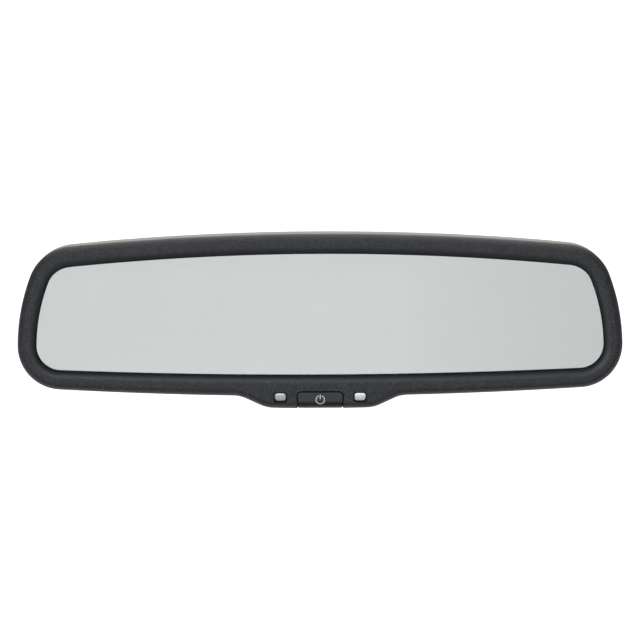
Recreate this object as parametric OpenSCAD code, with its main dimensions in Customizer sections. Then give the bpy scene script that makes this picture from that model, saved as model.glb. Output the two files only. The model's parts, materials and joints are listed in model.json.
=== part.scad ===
// Interior rearview mirror for a car, with a self-dimming glass cell, a power
// button in the chin of the bezel and a two-ball arm on a windshield foot.
// Millimetres. +Z is up, +Y points forward to the windshield, +X is to the right
// for someone facing the glass. The origin is the centre of the face of the foot
// that lies on the windshield.

/* [Head outline] */
// width of the head across the bezel
head_width = 256; // [213:1:308]
// height of the clear glass between the lips of the bezel
glass_height = 51.6; // [43:0.1:62]
// glass face to the flat of the housing back
head_depth = 28; // [25:0.5:34]
// width of the bezel at the two sides
rim_side = 7.9; // [6.6:0.1:9.6]
// width of the bezel along the top
rim_top = 7.9; // [6.6:0.1:9.6]
// width of the bezel along the bottom, outside the chin
rim_bottom = 9.3; // [8:0.1:11.2]
// radius of the bezel's long top edge
top_bow = 1145; // [900:5:2000]
// radius of the bezel's long bottom edge
bottom_bow = 1860; // [1200:5:3000]
// radius of the bezel's two side edges
side_bow = 85.5; // [70:0.5:110]
// how far below the glass centre the side edges are widest
side_low = 14.5; // [8:0.1:18]
// radius of the bezel's upper corners
upper_corner = 19.3; // [16:0.1:23]
// radius of the bezel's lower corners
lower_corner = 18.5; // [15:0.1:22]

/* [Chin] */
// half width of the chin's flat bottom
chin_half = 19.5; // [19.3:0.1:24]
// how far the chin hangs below the bezel's bottom edge
chin_drop = 5.1; // [4.3:0.1:6.2]
// slope of the chin's two flanks, in degrees
chin_slope = 24; // [20:1:28]
// radius that blends each end of a flank
chin_blend = 14.5; // [10:0.5:16]

/* [Bezel and housing] */
// how far the bezel crown stands in front of the glass
crown = 2.6; // [2:0.1:3.4]
// height of the bezel's lip on the glass
lip = 0.5; // [0.3:0.1:0.8]
// glass face back to the seam between bezel and housing
seam = 5; // [4.4:0.1:6]
// thickness of the housing wall
housing_wall = 2.2; // [1.8:0.1:2.6]
// how far the housing draws in from the seam to its back
back_inset = 14; // [12:0.5:16]
// how far the ends of the housing back sweep forward
back_sweep = 6; // [5:0.1:7.2]

/* [Glass cell] */
// thickness of the front glass
front_glass_t = 1.6; // [1.3:0.1:2]
// thickness of the gap filled with gel
gel_t = 0.15; // [0.12:0.01:0.2]
// thickness of the rear glass, which carries the mirror coating
rear_glass_t = 1.6; // [1.3:0.1:2]
// thickness of the foam adhesive behind the cell
pad_t = 0.8; // [0.6:0.1:1]
// thickness of the carrier plate
carrier_t = 1.5; // [1.2:0.1:1.8]

/* [Board and chin parts] */
// gap between the carrier plate and the circuit board
board_gap = 3; // [2.6:0.1:3.6]
// thickness of the circuit board
board_t = 1.6; // [1.2:0.1:2]
// half width of the button's top edge
button_half = 9.7; // [8.2:0.1:11]
// how far the button goes in
button_travel = 0.8; // [0.6:0.1:1]
// gap round the button
button_gap = 0.5; // [0.4:0.05:0.7]
// glass centre sideways to the centre of each window in the chin
window_x = 17; // [16.6:0.1:19]
// width of the clear part of a window
window_w = 4.8; // [4:0.1:5.6]
// height of the clear part of a window
window_h = 3.1; // [2.6:0.1:3.6]

/* [Ball joints and arm] */
// radius of the balls on the arm
ball_r = 8.5; // [7.2:0.1:9.4]
// thickness of the liner cups round a ball
liner_t = 1.4; // [1.2:0.1:1.6]
// running clearance on each side of a liner
play = 0.05; // [0.03:0.01:0.08]
// distance between the two ball centres
arm_length = 48; // [44:0.5:58]
// radius of the steel tube of the arm
tube_r = 4; // [3.4:0.1:4.4]

/* [Windshield foot] */
// slope of the windshield above level, in degrees
glass_slope = 45; // [38:1:50]
// windshield face back to the centre of the foot ball
foot_reach = 26; // [25.5:0.5:31]
// how far up the windshield the ball sits above the middle of the foot
foot_rise = 5; // [4:0.1:6]
// width of the foot across the windshield
foot_width = 34; // [30:0.5:40]
// length of the foot along the windshield
foot_length = 27; // [26:0.5:32]
// thickness of the foot plate
foot_t = 9; // [8:0.1:9.5]

/* [Hidden] */
$fn = 64;
e = 0.01;

// Layers of the head, measured back from the glass face.
gel_y = front_glass_t;
rear_glass_y = gel_y + gel_t;
pad_y = rear_glass_y + rear_glass_t;
carrier_y = pad_y + pad_t;
carrier_back = carrier_y + carrier_t;
board_y = carrier_back + board_gap;
board_back = board_y + board_t;
ball_y = head_depth - 4;

// How far the edges of the stacked plates reach outside the clear glass.
front_glass_e = 3.5;
rear_glass_e = 2.2;
carrier_e = 2.6;
seal_e = 0.8;
rail_in = 3.3;
rail_out = 1.9;
rail_back = seam + 3.2;

glass_half = head_width / 2 - rim_side;
top_z = glass_height / 2;
bottom_z = -glass_height / 2;
chin_z = bottom_z - rim_bottom - chin_drop;

board_half = glass_half * 0.5;
board_top = glass_height * 0.33;
board_low = -glass_height * 0.4;
board_post = [board_half - 5, glass_height * 0.25];
pilot_r = 1.2;

// Where the arm and its balls are.
foot_dir = [0, sin(glass_slope), cos(glass_slope)];
up_glass = [0, -cos(glass_slope), sin(glass_slope)];
foot_at = -foot_reach * foot_dir + foot_rise * up_glass;
head_ball_at = foot_at - [0, arm_length, 0];
glass_at = head_ball_at - [0, ball_y, 0];

liner_in = ball_r + play;
liner_out = liner_in + liner_t;
pocket_r = liner_out + play;
sleeve_gap = ball_r + 6;

// ---- outline of the glass and the bezel -------------------------------------

// Centre of an arc that touches two others: the point r1 from c1 and r2 from c2.
function meet(c1, r1, c2, r2) =
    let (v = c2 - c1, d = norm(v), u = v / d, k = (r1 * r1 - r2 * r2 + d * d) / (2 * d))
    c1 + k * u - sqrt(r1 * r1 - k * k) * [-u[1], u[0]];

function bearing(v) = atan2(v[1], v[0]);

// Right half of a mirror outline as five touching arcs: centre, radius, first and
// last angle, from the middle of the top edge round to the middle of the bottom.
function outline(a, zt, rt, r1, rs, zs, r2, rb, zb) =
    let (top = [0, zt - rt], side = [a - rs, zs], low = [0, zb + rb],
         up = meet(top, rt - r1, side, rs - r1), down = meet(side, rs - r2, low, rb - r2))
    [[top, rt, 90, bearing(up - top)],
     [up, r1, bearing(up - top), bearing(up - side)],
     [side, rs, bearing(up - side), bearing(down - side)],
     [down, r2, bearing(down - side), bearing(down - low)],
     [low, rb, bearing(down - low), -90]];

outer_arcs = outline(head_width / 2, top_z + rim_top, top_bow, upper_corner, side_bow,
    -side_low, lower_corner, bottom_bow, bottom_z - rim_bottom);
glass_arcs = outline(glass_half, top_z, top_bow - 60, upper_corner - rim_side, side_bow - rim_side,
    -side_low - 0.5, lower_corner - rim_side - 0.3, bottom_bow + 720, bottom_z);

// Half widths at which the chin changes from flat to blend, flank and blend.
blend_x = chin_blend * sin(chin_slope);
flank_x = (chin_drop - 2 * chin_blend * (1 - cos(chin_slope))) / tan(chin_slope);
chin_x = [chin_half, chin_half + blend_x, chin_half + blend_x + flank_x,
          chin_half + 2 * blend_x + flank_x];

// Drop of the chin at x, and how fast it changes, for a chin of full size.
function fall(x) =
    x < chin_x[0] ? chin_drop + 0.15 * (1 - pow(x / chin_half, 2))
    : x < chin_x[1] ? chin_drop - chin_blend + sqrt(pow(chin_blend, 2) - pow(x - chin_half, 2))
    : x < chin_x[2] ? chin_drop - chin_blend * (1 - cos(chin_slope)) - (x - chin_x[1]) * tan(chin_slope)
    : x < chin_x[3] ? chin_blend - sqrt(pow(chin_blend, 2) - pow(chin_x[3] - x, 2)) : 0;
function fall_rate(x) =
    x < chin_x[0] ? -0.3 * x / pow(chin_half, 2)
    : x < chin_x[1] ? -(x - chin_half) / sqrt(pow(chin_blend, 2) - pow(x - chin_half, 2))
    : x < chin_x[2] ? -tan(chin_slope)
    : x < chin_x[3] ? -(chin_x[3] - x) / sqrt(pow(chin_blend, 2) - pow(chin_x[3] - x, 2)) : 0;

function spread(a, b, n) = [for (i = [0:n - 1]) a + (b - a) * i / n];
function low_end(o) = o[3][0][0] + o[3][1] * cos(o[3][3]);

// Stations along the bottom edge, as fractions of its half length.
low_x = chin_x / low_end(outer_arcs);
low_stations = concat(spread(1, low_x[3], 4), spread(low_x[3], low_x[2], 3),
    spread(low_x[2], low_x[1], 2), spread(low_x[1], low_x[0], 4), spread(low_x[0], 0, 3), [0]);
arc_steps = [7, 9, 6, 8];

// Stations round a whole outline, each a point and the direction inward.
function low_station(o, u, chin) =
    let (x = u * low_end(o), h = sqrt(pow(o[4][1], 2) - x * x),
         m = x / h - chin * fall_rate(x))
    [[x, o[4][0][1] - h - chin * fall(x)], [-m, 1] / norm([m, 1])];
function half_edge(o, chin) =
    concat([for (k = [0:3]) each [for (i = [0:arc_steps[k] - 1])
        let (t = o[k][2] + (o[k][3] - o[k][2]) * i / arc_steps[k])
        [o[k][0] + o[k][1] * [cos(t), sin(t)], -[cos(t), sin(t)]]]],
    [for (u = low_stations) low_station(o, u, chin)]);
function edge(o, chin) =
    let (h = half_edge(o, chin))
    concat(h, [for (i = [len(h) - 2:-1:1])
        [[-h[i][0][0], h[i][0][1]], [-h[i][1][0], h[i][1][1]]]]);

outer_edge = edge(outer_arcs, 1);
glass_edge = edge(glass_arcs, 0);

// A ring of the outline moved inward by d, at depth y.
function ring(l, d, y) = [for (s = l) [s[0][0] + d * s[1][0], y, s[0][1] + d * s[1][1]]];

// Height of the clear glass edge above or below x.
function glass_top(x) = glass_arcs[0][0][1] + sqrt(pow(glass_arcs[0][1], 2) - x * x);
function glass_low(x) = glass_arcs[4][0][1] - sqrt(pow(glass_arcs[4][1], 2) - x * x);

// Skin between rings that follow each other. A closed skin joins the last ring to
// the first; an open one is shut by a flat face at each end.
module skin(rings, closed) {
    n = len(rings[0]);
    m = len(rings);
    polyhedron(
        points = [for (r = rings) each r],
        faces = concat(
            [for (j = [0:closed ? m - 1 : m - 2], i = [0:n - 1])
                let (a = j * n + i, b = j * n + (i + 1) % n, k = ((j + 1) % m) * n)
                each [[a, k + (i + 1) % n, b], [a, k + i, k + (i + 1) % n]]],
            closed ? [] : [[for (i = [0:n - 1]) i], [for (i = [n - 1:-1:0]) (m - 1) * n + i]]),
        convexity = 10);
}

// ---- helpers for placing shapes ----------------------------------------------

module in_head() translate(glass_at) children();
// A drawing in x and z, made solid from depth y0 back to depth y1.
module slab(y0, y1) translate([0, y1, 0]) rotate([90, 0, 0]) linear_extrude(y1 - y0) children();
module glass_shape(out) polygon([for (s = glass_edge) s[0] - out * s[1]]);
module rounded(w, h, r) {
    square([w - 2 * r, h], center = true);
    square([w, h - 2 * r], center = true);
    for (x = [-1, 1], z = [-1, 1]) translate([x * (w / 2 - r), z * (h / 2 - r)]) circle(r);
}
// A cylinder along y from y0 to y1.
module rod(r, y0, y1) translate([0, y0, 0]) rotate([-90, 0, 0]) cylinder(r = r, h = y1 - y0);
module block(x, y0, y1, z) translate([-x / 2, y0, -z / 2]) cube([x, y1 - y0, z]);
// A cone along y with its tip at the centre and the given half angle, s = 1 or -1.
module beam(angle, reach, s)
    rotate([-90 * s, 0, 0]) translate([0, 0, 1])
        cylinder(r1 = tan(angle), r2 = tan(angle) * reach, h = reach - 1);
// A ball with its poles on the y axis, the axis of every cut made in it.
module ball(r) rotate([-90, 0, 0]) sphere(r);
module shell(r_in, r_out) difference() {
    ball(r_out);
    ball(r_in);
}
module pan_screw(head_r, head_h, r, length) {
    difference() {
        rod(head_r, -head_h, 0);
        for (a = [0, 90]) rotate([0, a, 0]) block(head_r * 1.3, -head_h - e, -head_h * 0.45, head_r * 0.3);
    }
    rod(r, -e, length);
}

// ---- bezel --------------------------------------------------------------------

flank_w = 3.4;
edge_w = 3.4;
edge_y = 1.6;
bezel_rings = concat(
    [for (u = [0:22.5:90]) ring(glass_edge, -flank_w * (1 - cos(u)), -lip - (crown - lip) * sin(u))],
    [for (u = [90:-18:0]) ring(outer_edge, edge_w * (1 - cos(u)), edge_y - (crown + edge_y) * sin(u))],
    [ring(outer_edge, 0, seam), ring(outer_edge, rail_out, seam), ring(outer_edge, rail_out, rail_back),
     ring(outer_edge, rail_in, rail_back), ring(outer_edge, rail_in, 0), ring(glass_edge, 0, 0)]);

// Centres and outline of the two windows.
window_z = chin_z + 5.1;
opening_w = window_w + 0.7;
opening_h = window_h + 0.7;
window_lean = 0.5;
module window_shape(s) scale([s, 1]) polygon([
    [-opening_w / 2, opening_h / 2], [opening_w / 2, opening_h / 2],
    [opening_w / 2 - window_lean, -opening_h / 2], [-opening_w / 2, -opening_h / 2]]);
module at_window(s) translate([s * window_x, 0, window_z]) children();

// The button seen from the front: a straight-sided shape, narrower at the bottom.
button_top = chin_z + 7.2;
button_lean = 0.7;
module button_shape(grow) {
    r = 1.6 + grow;
    w = button_half + grow;
    z = button_top + grow;
    polygon([[-w, z - r], [w, z - r], [w - button_lean, chin_z - 2], [-w + button_lean, chin_z - 2]]);
    translate([0, z - r]) square([2 * (w - r), r * 2], center = true);
    for (s = [-1, 1]) translate([s * (w - r), z - r]) circle(r);
}
button_back = 3;
notch_back = button_back + button_travel + 0.4;

// Lugs behind the rim of the carrier plate.
lug_reach = 1.2;
module lug(x, z, sx, sz)
    translate([x, (carrier_back + rail_back) / 2 - 0.8, z])
        cube([sx, rail_back - carrier_back - 1.6, sz], center = true);
lug_x = [glass_half * 0.58, glass_half * 0.5];
module lugs() {
    lug_h = rim_top - rail_in - carrier_e + lug_reach + 0.5;
    for (x = [-lug_x[0], 0, lug_x[0]])
        lug(x, glass_top(x) + carrier_e - lug_reach + lug_h / 2, 9, lug_h);
    low_h = rim_bottom - rail_in - carrier_e + lug_reach + 0.5;
    for (x = [-lug_x[1], lug_x[1]])
        lug(x, glass_low(x) - carrier_e + lug_reach - low_h / 2, 9, low_h);
    // The side lugs stand just above the lower corners and follow the side's bow.
    side = outer_arcs[2];
    side_z = outer_arcs[3][0][1] + 3;
    side_sag = side[1] - sqrt(side[1]^2 - (side_z - side[0][1])^2);
    side_h = rim_side - rail_in - carrier_e + lug_reach + 0.5;
    for (s = [-1, 1])
        lug(s * (glass_half + carrier_e - lug_reach + side_h / 2 - side_sag), side_z, side_h, 6);
}

module bezel() color([0.23, 0.23, 0.24]) in_head() difference() {
    union() {
        skin(bezel_rings, true);
        lugs();
    }
    slab(-crown - 1, notch_back) button_shape(button_gap);
    for (s = [-1, 1]) at_window(s) {
        slab(-crown - 1, 1) window_shape(s);
        translate([0, 0, -3.1]) block(4.7, -crown - 1, -crown + 0.15, 0.35);
    }
}

// ---- rear housing ---------------------------------------------------------------

// The back cover is a flat plate let into the housing back, with the same outline
// family as the bezel. It carries the ball socket and the posts of the carrier.
cover_half = board_half + 11.5;
cover_top = pocket_r + 5;
cover_bow = 900;
cover_ledge = 2.2;
post_r = 3;
// Height of the cover's edge above its middle line at x.
function cover_edge_z(x) = cover_top - pow(x, 2) / (2 * cover_bow);
carrier_post = [cover_half - 6, cover_edge_z(cover_half) - post_r - 0.6];
cover_split = head_depth - housing_wall / 2;
function cover_edge(out) = edge(outline(cover_half + out, cover_top + out, cover_bow, 7 + out,
    60 + out, 0, 7 + out, cover_bow, -cover_top - out), 0);
cover_in = cover_edge(0);
cover_out = cover_edge(cover_ledge);

flat_half = cover_half + cover_ledge + 1;
function back_y(x) = head_depth
    - back_sweep * pow(max(0, abs(x) - flat_half) / (head_width / 2 - flat_half), 2);
round_power = 0.5;
// The rounding of the back stays above the cover, and inside the corners at the ends.
back_round = min(back_inset, top_z + rim_top - cover_top - cover_ledge - 0.4);
side_pull = (min(upper_corner, lower_corner) - housing_wall - 0.3) / back_round;
// A ring of the housing skin: u = 0 at the seam and 90 at the back, t into the wall.
function housing_ring(u, t) =
    let (k = pow(sin(u), round_power), q = back_round * (1 - pow(cos(u), round_power)),
         l = edge(outer_arcs, pow(1 - k, 1.5)))
    [for (s = l) let (x = s[0][0] + (t + q * side_pull) * s[1][0])
        [x, seam + (back_y(x) - t - seam) * k, s[0][1] + (t + q) * s[1][1]]];
housing_rings = concat(
    [ring(cover_in, 0, cover_split), ring(cover_in, 0, head_depth - housing_wall)],
    [for (u = [90:-11.25:11.25]) housing_ring(u, housing_wall)],
    [ring(outer_edge, rail_out, rail_back + 0.3), ring(outer_edge, rail_out, seam),
     ring(outer_edge, 0.15, seam)],
    [for (u = [11.25:11.25:90]) housing_ring(u, 0)],
    [ring(cover_out, 0, head_depth), ring(cover_out, 0, cover_split)]);
module rear_housing() color([0.66, 0.66, 0.64]) in_head() skin(housing_rings, true);

collar_r = pocket_r + 2.4;
plate_post = [pocket_r + 10, pocket_r + 1.5];
plate_y = [ball_y - 2.5, ball_y - 0.5];
header_w = 19;
header_h = 10;
header_x = glass_half * 0.36;
header_at = [-header_x, cover_edge_z(header_x + header_w / 2) - header_h / 2 - 1.2];
ambient_at = [glass_half * 0.29, glass_height * 0.16];
header_end = head_depth + 0.8;
ambient_end = head_depth + 0.5;

module four_at(p) for (x = [-1, 1], z = [-1, 1]) translate([x * p[0], 0, z * p[1]]) children();
module edge_shape(l) polygon([for (s = l) s[0]]);

module back_cover() color([0.64, 0.64, 0.62]) in_head() difference() {
    inner = head_depth - housing_wall;
    union() {
        slab(cover_split, head_depth) edge_shape(cover_out);
        slab(inner, cover_split + e) edge_shape(cover_in);
        four_at(carrier_post) rod(post_r, carrier_back, inner + 0.5);
        four_at(plate_post) rod(post_r, plate_y[1], inner + 0.5);
    }
    rod(collar_r + 0.3, inner - 1, head_depth + 1);
    four_at(carrier_post) rod(pilot_r, carrier_back - 1, carrier_back + 9);
    four_at(plate_post) rod(pilot_r, plate_y[1] - 1, plate_y[1] + 3.4);
    translate([header_at[0], 0, header_at[1]]) block(header_w, inner - 1, head_depth + 1, header_h);
    translate([ambient_at[0], 0, ambient_at[1]]) rod(ambient_r, inner - 1, head_depth + 1);
}

// ---- glass cell and carrier -------------------------------------------------------

module front_glass() color([0.75, 0.85, 0.88, 0.5]) in_head()
    slab(0, front_glass_t) glass_shape(front_glass_e);
module cell_seal() color([0.3, 0.3, 0.32]) in_head() slab(gel_y, rear_glass_y) difference() {
    glass_shape(rear_glass_e);
    glass_shape(seal_e);
}
module ec_gel() color([0.55, 0.65, 0.7, 0.6]) in_head() slab(gel_y, rear_glass_y) glass_shape(seal_e);
module rear_glass() color([0.85, 0.87, 0.88]) in_head() slab(rear_glass_y, pad_y) glass_shape(rear_glass_e);

// A bus clip is an angle of thin strip over the edge of the rear glass.
clip_t = 0.25;
clip_leg = 3.4;
module clip_profile(r) translate([r, 0]) {
    translate([0, gel_y]) square([clip_t, pad_y - gel_y + clip_t]);
    translate([-clip_leg, pad_y]) square([clip_leg + clip_t, clip_t]);
}
// An arc of profile about the axis along y through [0, z], from the top by half
// an angle to each side.
module bus_clip(z, r, half, turn) {
    translate([0, 0, z]) rotate([0, turn, 0]) rotate([-90, 0, 0]) rotate([0, 0, -90 - half])
        rotate_extrude(angle = 2 * half, $fn = 2400) clip_profile(r);
    rotate([0, turn, 0]) translate([glass_half * 0.35, 0, abs(z + cos(turn) * r)])
        translate([0, 0, -clip_leg]) block(4, pad_y + clip_t - e, board_y, clip_t * 2);
}
module upper_bus_clip() color([0.85, 0.6, 0.35]) in_head()
    bus_clip(glass_arcs[0][0][1], glass_arcs[0][1] + rear_glass_e, asin(glass_half * 0.6 / top_bow), 0);
module lower_bus_clip() color([0.85, 0.6, 0.35]) in_head()
    bus_clip(glass_arcs[4][0][1], glass_arcs[4][1] + rear_glass_e, asin(glass_half * 0.6 / bottom_bow), 180);

module adhesive_pad() color([0.2, 0.2, 0.21]) in_head() slab(pad_y, carrier_y) glass_shape(-3);

module carrier_plate() color([0.16, 0.16, 0.17]) in_head() difference() {
    union() {
        slab(carrier_y, carrier_back) glass_shape(carrier_e);
        four_at(board_post) rod(2.4, carrier_back - e, board_y);
    }
    four_at(carrier_post) {
        rod(pilot_r, carrier_y - 1, carrier_back + 1);
        rod(2.6, carrier_y - 1, carrier_y + 0.9);
    }
    four_at(board_post) rod(0.9, board_y - 4, board_y + 1);
    for (s = [-1, 1]) translate([s * glass_half * 0.35, 0, 0])
        translate([0, 0, s * (glass_height / 2 + rear_glass_e - clip_leg)])
            block(5.4, carrier_y - 1, carrier_back + 1, 2.6);
}
module carrier_screws() color([0.75, 0.75, 0.77]) in_head()
    four_at(carrier_post) translate([0, carrier_y + 0.9, 0]) pan_screw(2.6, 0.9, pilot_r, 9);

// ---- circuit board ----------------------------------------------------------------

tab_half = window_x + 5;
tab_low = chin_z + rail_in + 0.5;
ambient_r = 3;
module circuit_board() color([0.1, 0.35, 0.2]) in_head() difference() {
    slab(board_y, board_back) {
        translate([-board_half, board_low]) square([2 * board_half, board_top - board_low]);
        translate([-tab_half, tab_low]) square([2 * tab_half, board_low - tab_low + 1]);
    }
    four_at(board_post) rod(0.9, board_y - 1, board_back + 1);
}
module board_screws() color([0.75, 0.75, 0.77]) in_head()
    four_at(board_post) translate([0, board_back, 0]) rotate([180, 0, 0]) pan_screw(2.1, 1.3, 0.9, 4.6);

chip_x = -glass_half * 0.13 - 9;
module microcontroller() color([0.12, 0.12, 0.13]) in_head() translate([chip_x, board_back, -glass_height * 0.16]) {
    block(9, 0.15, 1.7, 9);
    for (a = [0:90:270]) rotate([0, a, 0]) for (i = [-3.5:1:3.5])
        translate([4.5, 0, i - 0.18]) cube([1.1, 0.3, 0.36]);
}
module capacitors() color([0.72, 0.73, 0.75]) in_head()
    for (i = [0:2]) translate([board_half * 0.5 + i * 8, board_back, -glass_height * 0.18]) {
        block(6.6, 0, 1, 6.6);
        rod(3.1, 1 - e, 6.6);
    }
module power_regulator() color([0.14, 0.14, 0.15]) in_head() translate([board_half * 0.45, board_back, glass_height * 0.1]) {
    block(6.6, 0.1, 2.4, 6.2);
    translate([0, 0, 3.6]) block(5.2, 0, 0.6, 1.2);
    for (x = [-2.3, 0, 2.3]) translate([x, 0, -3.9]) block(0.8, 0, 0.6, 1.8);
}

switch_z = chin_z + 7.4;
switch_y = board_y - 3.5;
module switch_body() color([0.1, 0.1, 0.1]) in_head() translate([0, 0, switch_z]) difference() {
    union() {
        block(6.2, switch_y, board_y, 6.2);
        for (x = [-1, 1], z = [-1, 1]) translate([x * 3.6, 0, z * 2.2]) block(1.2, board_y - 0.4, board_y, 0.7);
    }
    rod(1.8, switch_y - 1, switch_y + 2.4);
}
module glare_sensor() color([0.2, 0.17, 0.15]) in_head() at_window(1) block(3.2, board_y - 1.2, board_y, 2.6);
module indicator_led() color([0.9, 0.9, 0.82]) in_head() at_window(-1) block(3, board_y - 0.9, board_y, 1.6);
// Each lens fills its opening in the bezel and has a foot that stops it from inside,
// cut off above the bezel's rail.
lens_y = -crown + 0.7;
module lens(s, back) {
    foot_low = chin_z + rail_in + 0.1 - window_z;
    slab(lens_y, 0) window_shape(s);
    translate([-opening_w / 2 - 0.6, 0, foot_low])
        cube([opening_w + 1.2, 1, opening_h / 2 + 0.6 - foot_low]);
    block(window_w - 1, 1 - e, back, window_h - 0.6);
}
module glare_lens() color([0.8, 0.82, 0.84, 0.7]) in_head() at_window(1) lens(1, board_y - 1.6);
module indicator_lens() color([0.62, 0.63, 0.64, 0.8]) in_head() at_window(-1) lens(-1, board_y - 1.3);
module ambient_sensor() color([0.2, 0.17, 0.15]) in_head()
    translate([ambient_at[0], 0, ambient_at[1]]) block(3.2, board_back, board_back + 1.2, 2.8);
module ambient_lens() color([0.75, 0.78, 0.8, 0.7]) in_head() translate([ambient_at[0], 0, ambient_at[1]]) {
    rod(ambient_r, board_back + 1.8, ambient_end);
    rod(ambient_r + 1.5, head_depth - housing_wall - 1.2, head_depth - housing_wall);
}

socket_y = header_end - 11;
module pin_places() for (i = [-2:2], k = [-1, 1])
    translate([header_at[0] + i * 2.54, 0, header_at[1] + k * 1.27]) children();
module connector_header() color([0.13, 0.13, 0.14]) in_head() difference() {
    translate([header_at[0], 0, header_at[1]]) difference() {
        block(header_w, board_back, header_end, header_h);
        block(16, socket_y, header_end + 1, 7);
        for (s = [-1, 1]) translate([s * 4, 0, 4]) block(2, socket_y, header_end + 1, 3.4);
    }
    pin_places() block(0.64, board_back - 1, socket_y + 1, 0.64);
}
module connector_pins() color([0.85, 0.7, 0.4]) in_head()
    pin_places() block(0.64, board_back, socket_y + 5.6, 0.64);

// ---- ball joint of the head ---------------------------------------------------------

module at_head_ball() translate(head_ball_at) children();
module socket_plate() color([0.7, 0.71, 0.73]) at_head_ball() difference() {
    union() {
        slab(-2.5, -0.5) rounded(2 * plate_post[0] + 8, 2 * plate_post[1] + 8, 5);
        intersection() {
            ball(pocket_r + 1.9);
            translate([0, -20, 0]) cube([60, 39, 60], center = true);
        }
    }
    ball(pocket_r);
    four_at(plate_post) rod(pilot_r, -4, 1);
}
module socket_retainer() color([0.2, 0.2, 0.21]) at_head_ball() difference() {
    union() {
        rod(collar_r, -0.5, 4.6);
        translate([0, 4.6 - e, 0]) rotate([-90, 0, 0]) cylinder(r1 = collar_r, r2 = collar_r - 1, h = 1);
        rod(pocket_r + 6, -0.5, 1);
    }
    ball(pocket_r);
    beam(60, 14, 1);
    four_at(plate_post) rod(3, -1, 5);
}
module socket_spring() color([0.6, 0.61, 0.63]) at_head_ball() {
    space = head_depth - housing_wall - ball_y - 1;
    difference() {
        translate([0, 1, 0]) rotate([-90, 0, 0]) cylinder(r1 = pocket_r + 3.6, r2 = pocket_r + 5.6, h = space);
        translate([0, 1 - e, 0]) rotate([-90, 0, 0]) cylinder(r1 = pocket_r + 3, r2 = pocket_r + 5, h = space + 2 * e);
    }
}
module plate_screws() color([0.75, 0.75, 0.77]) at_head_ball()
    four_at(plate_post) translate([0, -2.5, 0]) pan_screw(2.4, 1.5, pilot_r, 5);

module head_front_cup() color([0.88, 0.87, 0.83]) at_head_ball() intersection() {
    shell(liner_in, liner_out);
    beam(65, 12, -1);
}
module head_rear_cup() color([0.88, 0.87, 0.83]) at_head_ball() difference() {
    shell(liner_in, liner_out);
    translate([0, -19.4, 0]) cube([60, 40, 60], center = true);
    beam(60, 14, 1);
}

// ---- arm --------------------------------------------------------------------------

module at_arm() translate(head_ball_at) children();
bore_r = tube_r - 1.5;
module arm_tube() color([0.62, 0.63, 0.65]) at_arm() difference() {
    rod(tube_r, 0, arm_length);
    rod(bore_r, -1, arm_length + 1);
}
module ball_at_end() difference() {
    ball(ball_r);
    rod(tube_r, 0, ball_r + 1);
    rod(bore_r, -ball_r - 1, 1);
}
module head_ball() color([0.66, 0.67, 0.69]) at_arm() ball_at_end();
module foot_ball() color([0.66, 0.67, 0.69]) translate(foot_at) rotate([0, 0, 180]) ball_at_end();
module arm_sleeve() color([0.2, 0.2, 0.21]) at_arm() difference() {
    union() {
        middle = arm_length / 2;
        translate([0, sleeve_gap, 0]) rotate([-90, 0, 0])
            cylinder(r1 = tube_r + 2.2, r2 = tube_r + 3.4, h = middle - sleeve_gap);
        translate([0, middle - e, 0]) rotate([-90, 0, 0])
            cylinder(r1 = tube_r + 3.4, r2 = tube_r + 2.2, h = middle - sleeve_gap + e);
    }
    rod(tube_r, 0, arm_length);
}

// ---- windshield foot ----------------------------------------------------------------

// Foot frame: z to the windshield, y down it.
module on_glass() rotate([-glass_slope, 0, 0]) children();
module at_foot_ball() translate(foot_at) children();
cup_r = pocket_r + 3;
cap_r = cup_r + 2.4;
cap_skirt = 5;
channel_t = 5;
channel_top = 3.5;
// The channel for the windshield button: undercut sides and wider at its open end.
module channel() {
    near = [10.2, 8.6];
    far = [12.4, 10.8];
    y0 = -foot_length / 2 + channel_top;
    y1 = foot_length / 2 + 1;
    polyhedron(
        points = [[-near[0], y0, -channel_t], [near[0], y0, -channel_t], [far[0], y1, -channel_t],
                  [-far[0], y1, -channel_t], [-near[1], y0, 1], [near[1], y0, 1], [far[1], y1, 1],
                  [-far[1], y1, 1]],
        faces = [[0, 1, 2, 3], [4, 7, 6, 5], [0, 4, 5, 1], [1, 5, 6, 2], [2, 6, 7, 3], [3, 7, 4, 0]]);
}
set_screw_y = foot_length / 2 - 4;
module mount_foot() color([0.24, 0.24, 0.25]) difference() {
    union() {
        on_glass() translate([0, 0, -foot_t]) linear_extrude(foot_t) rounded(foot_width, foot_length, 5);
        difference() {
            on_glass() translate([0, -foot_rise, -foot_reach]) cylinder(r = 8, h = foot_reach - foot_t + 1);
            at_foot_ball() rod(cap_r + 0.5, -30, cap_skirt + 0.4);
        }
        at_foot_ball() {
            rod(cup_r, -0.5, cap_skirt + 0.6);
            intersection() {
                ball(cup_r + 0.6);
                translate([0, 20 + cap_skirt + 0.4, 0]) cube([60, 40, 60], center = true);
            }
        }
    }
    at_foot_ball() ball(pocket_r);
    on_glass() {
        channel();
        translate([0, set_screw_y, -foot_t - 1]) cylinder(r = 2, h = foot_t);
    }
}
module foot_socket_cap() color([0.28, 0.28, 0.29]) at_foot_ball() difference() {
    union() {
        rod(cap_r, -5, cap_skirt);
        translate([0, -6.4, 0]) rotate([-90, 0, 0]) cylinder(r1 = cap_r - 1.6, r2 = cap_r, h = 1.4 + e);
    }
    rod(cup_r, -0.5, cap_skirt + 1);
    ball(pocket_r);
    beam(62, 14, -1);
    for (a = [0:30:330]) rotate([0, a, 0]) translate([cap_r + 0.7, 0, 0]) rod(1.3, -4.4, cap_skirt + 1);
}
module foot_ball_liner() color([0.88, 0.87, 0.83]) at_foot_ball() difference() {
    shell(liner_in, liner_out);
    beam(64, 14, -1);
    for (a = [0, 90]) rotate([0, a, 0]) block(40, -20, 2, 1.4);
}
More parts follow.
